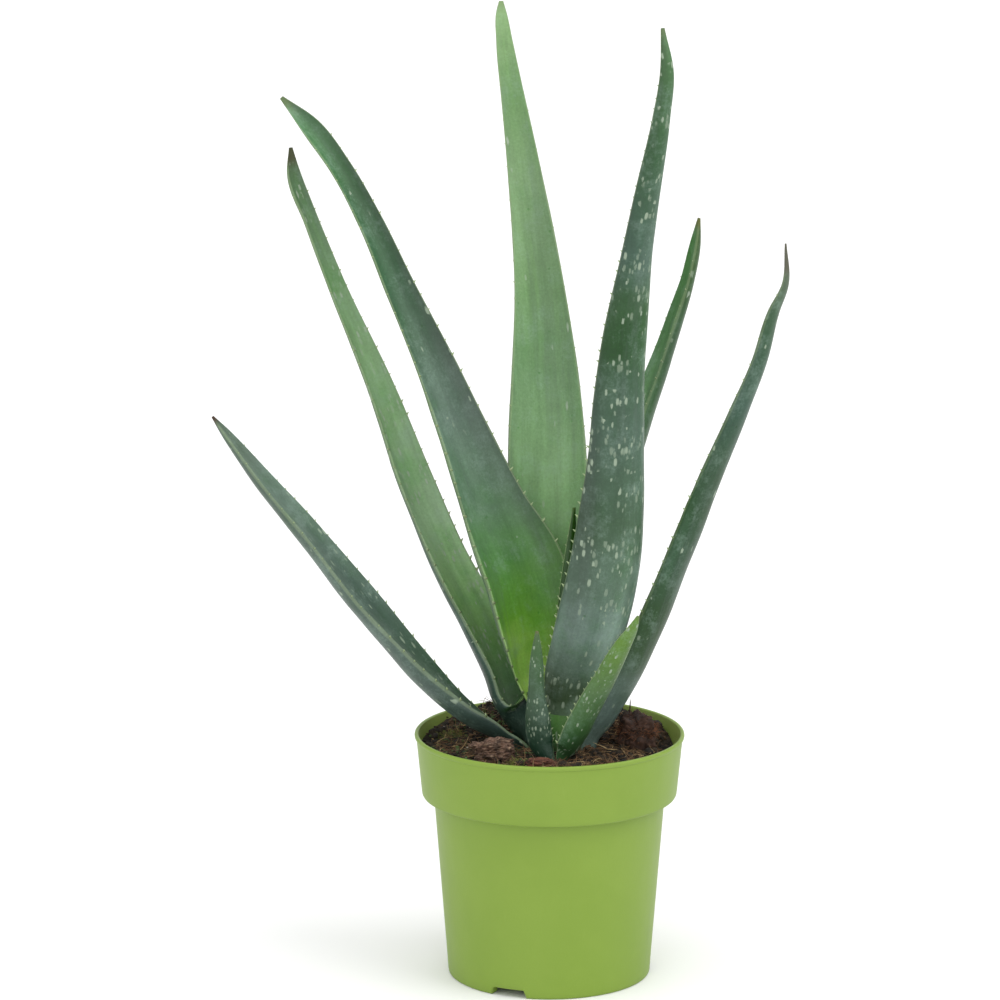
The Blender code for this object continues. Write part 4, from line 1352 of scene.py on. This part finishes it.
def make_peat_clump():
    middle, size = box_middle("peat_clump")
    body = fibre_material("peat_rust", paint(62, 36, 21), paint(22, 13, 8))
    block = [size[0] * 0.76, size[1] * 0.80, size[2] * 1.08]
    mesh = rough_lump("peat_clump_matted", middle, block, 10.0, 5.7, 0.15)
    add_piece("peat_clump_matted", mesh, body, replaces=("peat_clump",))
    rng = random.Random(77)

    def build(bm):
        angle = rng.uniform(0, math.tau)
        rise = rng.uniform(-0.1, 1.0)
        flat = math.sqrt(max(0.0, 1.0 - rise * rise))
        out = Vector((math.cos(angle) * flat, math.sin(angle) * flat, rise))
        start = Vector([c + o * s * 0.42 for c, o, s in zip(middle, out, size)])
        stray = Vector((rng.uniform(-1, 1), rng.uniform(-1, 1), rng.uniform(-1, 1)))
        add_strand(bm, start, (out * 0.5 + stray).normalized(), rng.uniform(0.002, 0.0052),
                   rng.uniform(0.00006, 0.00014), rng, curl=2.4, steps=4, sides=3)

    strands = fibre_material("peat_rust_strands", paint(136, 86, 50), paint(54, 30, 17))
    mesh = finish_mesh("peat_clump_strands", in_batches(1100, build))
    add_piece("peat_clump_strands", mesh, strands)


def make_moss():
    surface = fibre_material("moss_green", paint(128, 132, 58), paint(64, 76, 30))
    for index, node in enumerate(("moss_tuft_left", "moss_tuft_front")):
        middle, size = box_middle(node)
        rng = random.Random(500 + index)

        def build(bm):
            x = middle[0] + rng.gauss(0, 0.24) * size[0]
            y = middle[1] + rng.gauss(0, 0.24) * size[1]
            heading = Vector((rng.uniform(-1, 1), rng.uniform(-1, 1), rng.uniform(0.2, 1.2)))
            add_strand(bm, Vector((x, y, ground(x, y))), heading.normalized(),
                       rng.uniform(0.0015, 0.0034), rng.uniform(0.00010, 0.00020), rng, curl=1.5,
                       steps=3, sides=3)

        mesh = finish_mesh(node + "_sprigs", in_batches(260, build))
        add_piece(node + "_sprigs", mesh, surface, replaces=(node,))


def make_root():
    low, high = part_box("root_fibre")
    rng = random.Random(9)
    bm = bmesh.new()
    x = high[0] - 0.0010
    y = (low[1] + high[1]) / 2.0
    start = Vector((x, y, ground(x, y) - 0.0005))
    add_strand(bm, start, Vector((0.10, -0.2, 1.0)).normalized(), 0.0130, 0.00065, rng, curl=0.9,
               lift=0.5, steps=8, sides=6)
    surface = fibre_material("root_brown", paint(104, 76, 60), paint(54, 38, 32))
    mesh = finish_mesh("root_strand", bm)
    add_piece("root_strand", mesh, surface, replaces=("root_fibre",))


def left_spot(rng):
    """A place on the left part of the soil."""
    x, y = random_spot(rng)
    return min(x, -0.015 + rng.gauss(0, 0.008)), y * 0.8


def make_ground():
    peat = soil_material("peat_dark", paint(56, 45, 29), paint(12, 9, 6))
    make_soil(peat)
    make_crumbs("crumbs_fine", 1500, 0.0004, 0.0010, peat, 21)
    browner = soil_material("peat_brown", paint(112, 86, 56), paint(42, 30, 18))
    make_crumbs("crumbs_brown", 650, 0.0005, 0.0014, browner, 22)
    make_crumbs("crumbs_coarse", 120, 0.0013, 0.0027, peat, 23, detail=2)
    mossy = soil_material("peat_mossy", paint(98, 122, 66), paint(34, 52, 28))
    make_crumbs("crumbs_mossy", 620, 0.0004, 0.0012, mossy, 24, area=left_spot)
    pale = fibre_material("grit_pale", paint(190, 184, 166), paint(120, 112, 96))
    make_crumbs("grit_specks", 70, 0.00025, 0.0005, pale, 25)
    brown = fibre_material("fibre_brown", paint(126, 96, 62), paint(54, 36, 22))
    make_fibres("fibres_brown", 1300, brown, 31)
    tan = fibre_material("fibre_tan", paint(192, 168, 120), paint(124, 98, 62))
    make_fibres("fibres_tan", 420, tan, 32, 0.009)


# ---- floor, light and camera ----
FLOOR_COLOUR = 0.92
AMBIENT = 0.56


def make_floor():
    bm = bmesh.new()
    bmesh.ops.create_grid(bm, x_segments=2, y_segments=2, size=20.0)
    for vert in bm.verts:
        vert.co.z = FLOOR_Z
    mesh = finish_mesh("floor", bm)
    made = bpy.data.objects.new("floor", mesh)
    bpy.context.scene.collection.objects.link(made)
    surface, tree, shader = new_material("floor_white")
    shader.inputs["Base Color"].default_value = (FLOOR_COLOUR, FLOOR_COLOUR, FLOOR_COLOUR, 1.0)
    shader.inputs["Roughness"].default_value = 0.95
    shader.inputs["Specular IOR Level"].default_value = 0.1
    mesh.materials.append(surface)


def make_world():
    world = bpy.data.worlds.new("studio")
    bpy.context.scene.world = world
    world.use_nodes = True
    back = world.node_tree.nodes["Background"]
    back.inputs["Color"].default_value = (1.0, 1.0, 1.0, 1.0)
    back.inputs["Strength"].default_value = AMBIENT


def add_light(name, place, softness_deg, strength):
    """A broad soft light, shining evenly from a direction onto the origin."""
    data = bpy.data.lights.new(name, "SUN")
    data.angle = math.radians(softness_deg)
    data.energy = strength
    made = bpy.data.objects.new(name, data)
    bpy.context.scene.collection.objects.link(made)
    made.location = place
    made.rotation_euler = (-Vector(place)).to_track_quat("-Z", "Y").to_euler()


CAMERA_AT = (-0.022, -2.222, 0.704)
CAMERA_DIP_DEG = 12.4
CAMERA_LENS = 186.05


def make_camera():
    data = bpy.data.cameras.new("camera")
    data.lens = CAMERA_LENS
    data.sensor_width = 36.0
    data.clip_start = 0.1
    data.clip_end = 50.0
    made = bpy.data.objects.new("camera", data)
    bpy.context.scene.collection.objects.link(made)
    made.location = CAMERA_AT
    made.rotation_euler = (math.radians(90.0 - CAMERA_DIP_DEG), 0.0, 0.0)
    bpy.context.scene.camera = made


LIGHTS = (
    # name, place it shines from, softness in degrees, strength
    ("key", (1.9, -0.9, 1.6), 50.0, 1.20),
    ("front", (-0.4, -2.2, 0.9), 50.0, 0.75),
    ("fill", (-2.0, -0.6, 1.3), 60.0, 0.50),
    ("top", (0.0, -0.3, 2.0), 60.0, 1.00),
    ("back", (0.5, 2.1, 1.3), 60.0, 0.45),
)


def make_studio():
    make_floor()
    make_world()
    for name, place, softness, strength in LIGHTS:
        add_light(name, place, softness, strength)
    make_camera()
    bpy.context.scene.view_settings.view_transform = "Standard"


make_studio()
make_pot()
make_ground()
make_stem()
make_bark()
make_peat_clump()
make_moss()
make_root()
make_leaves()
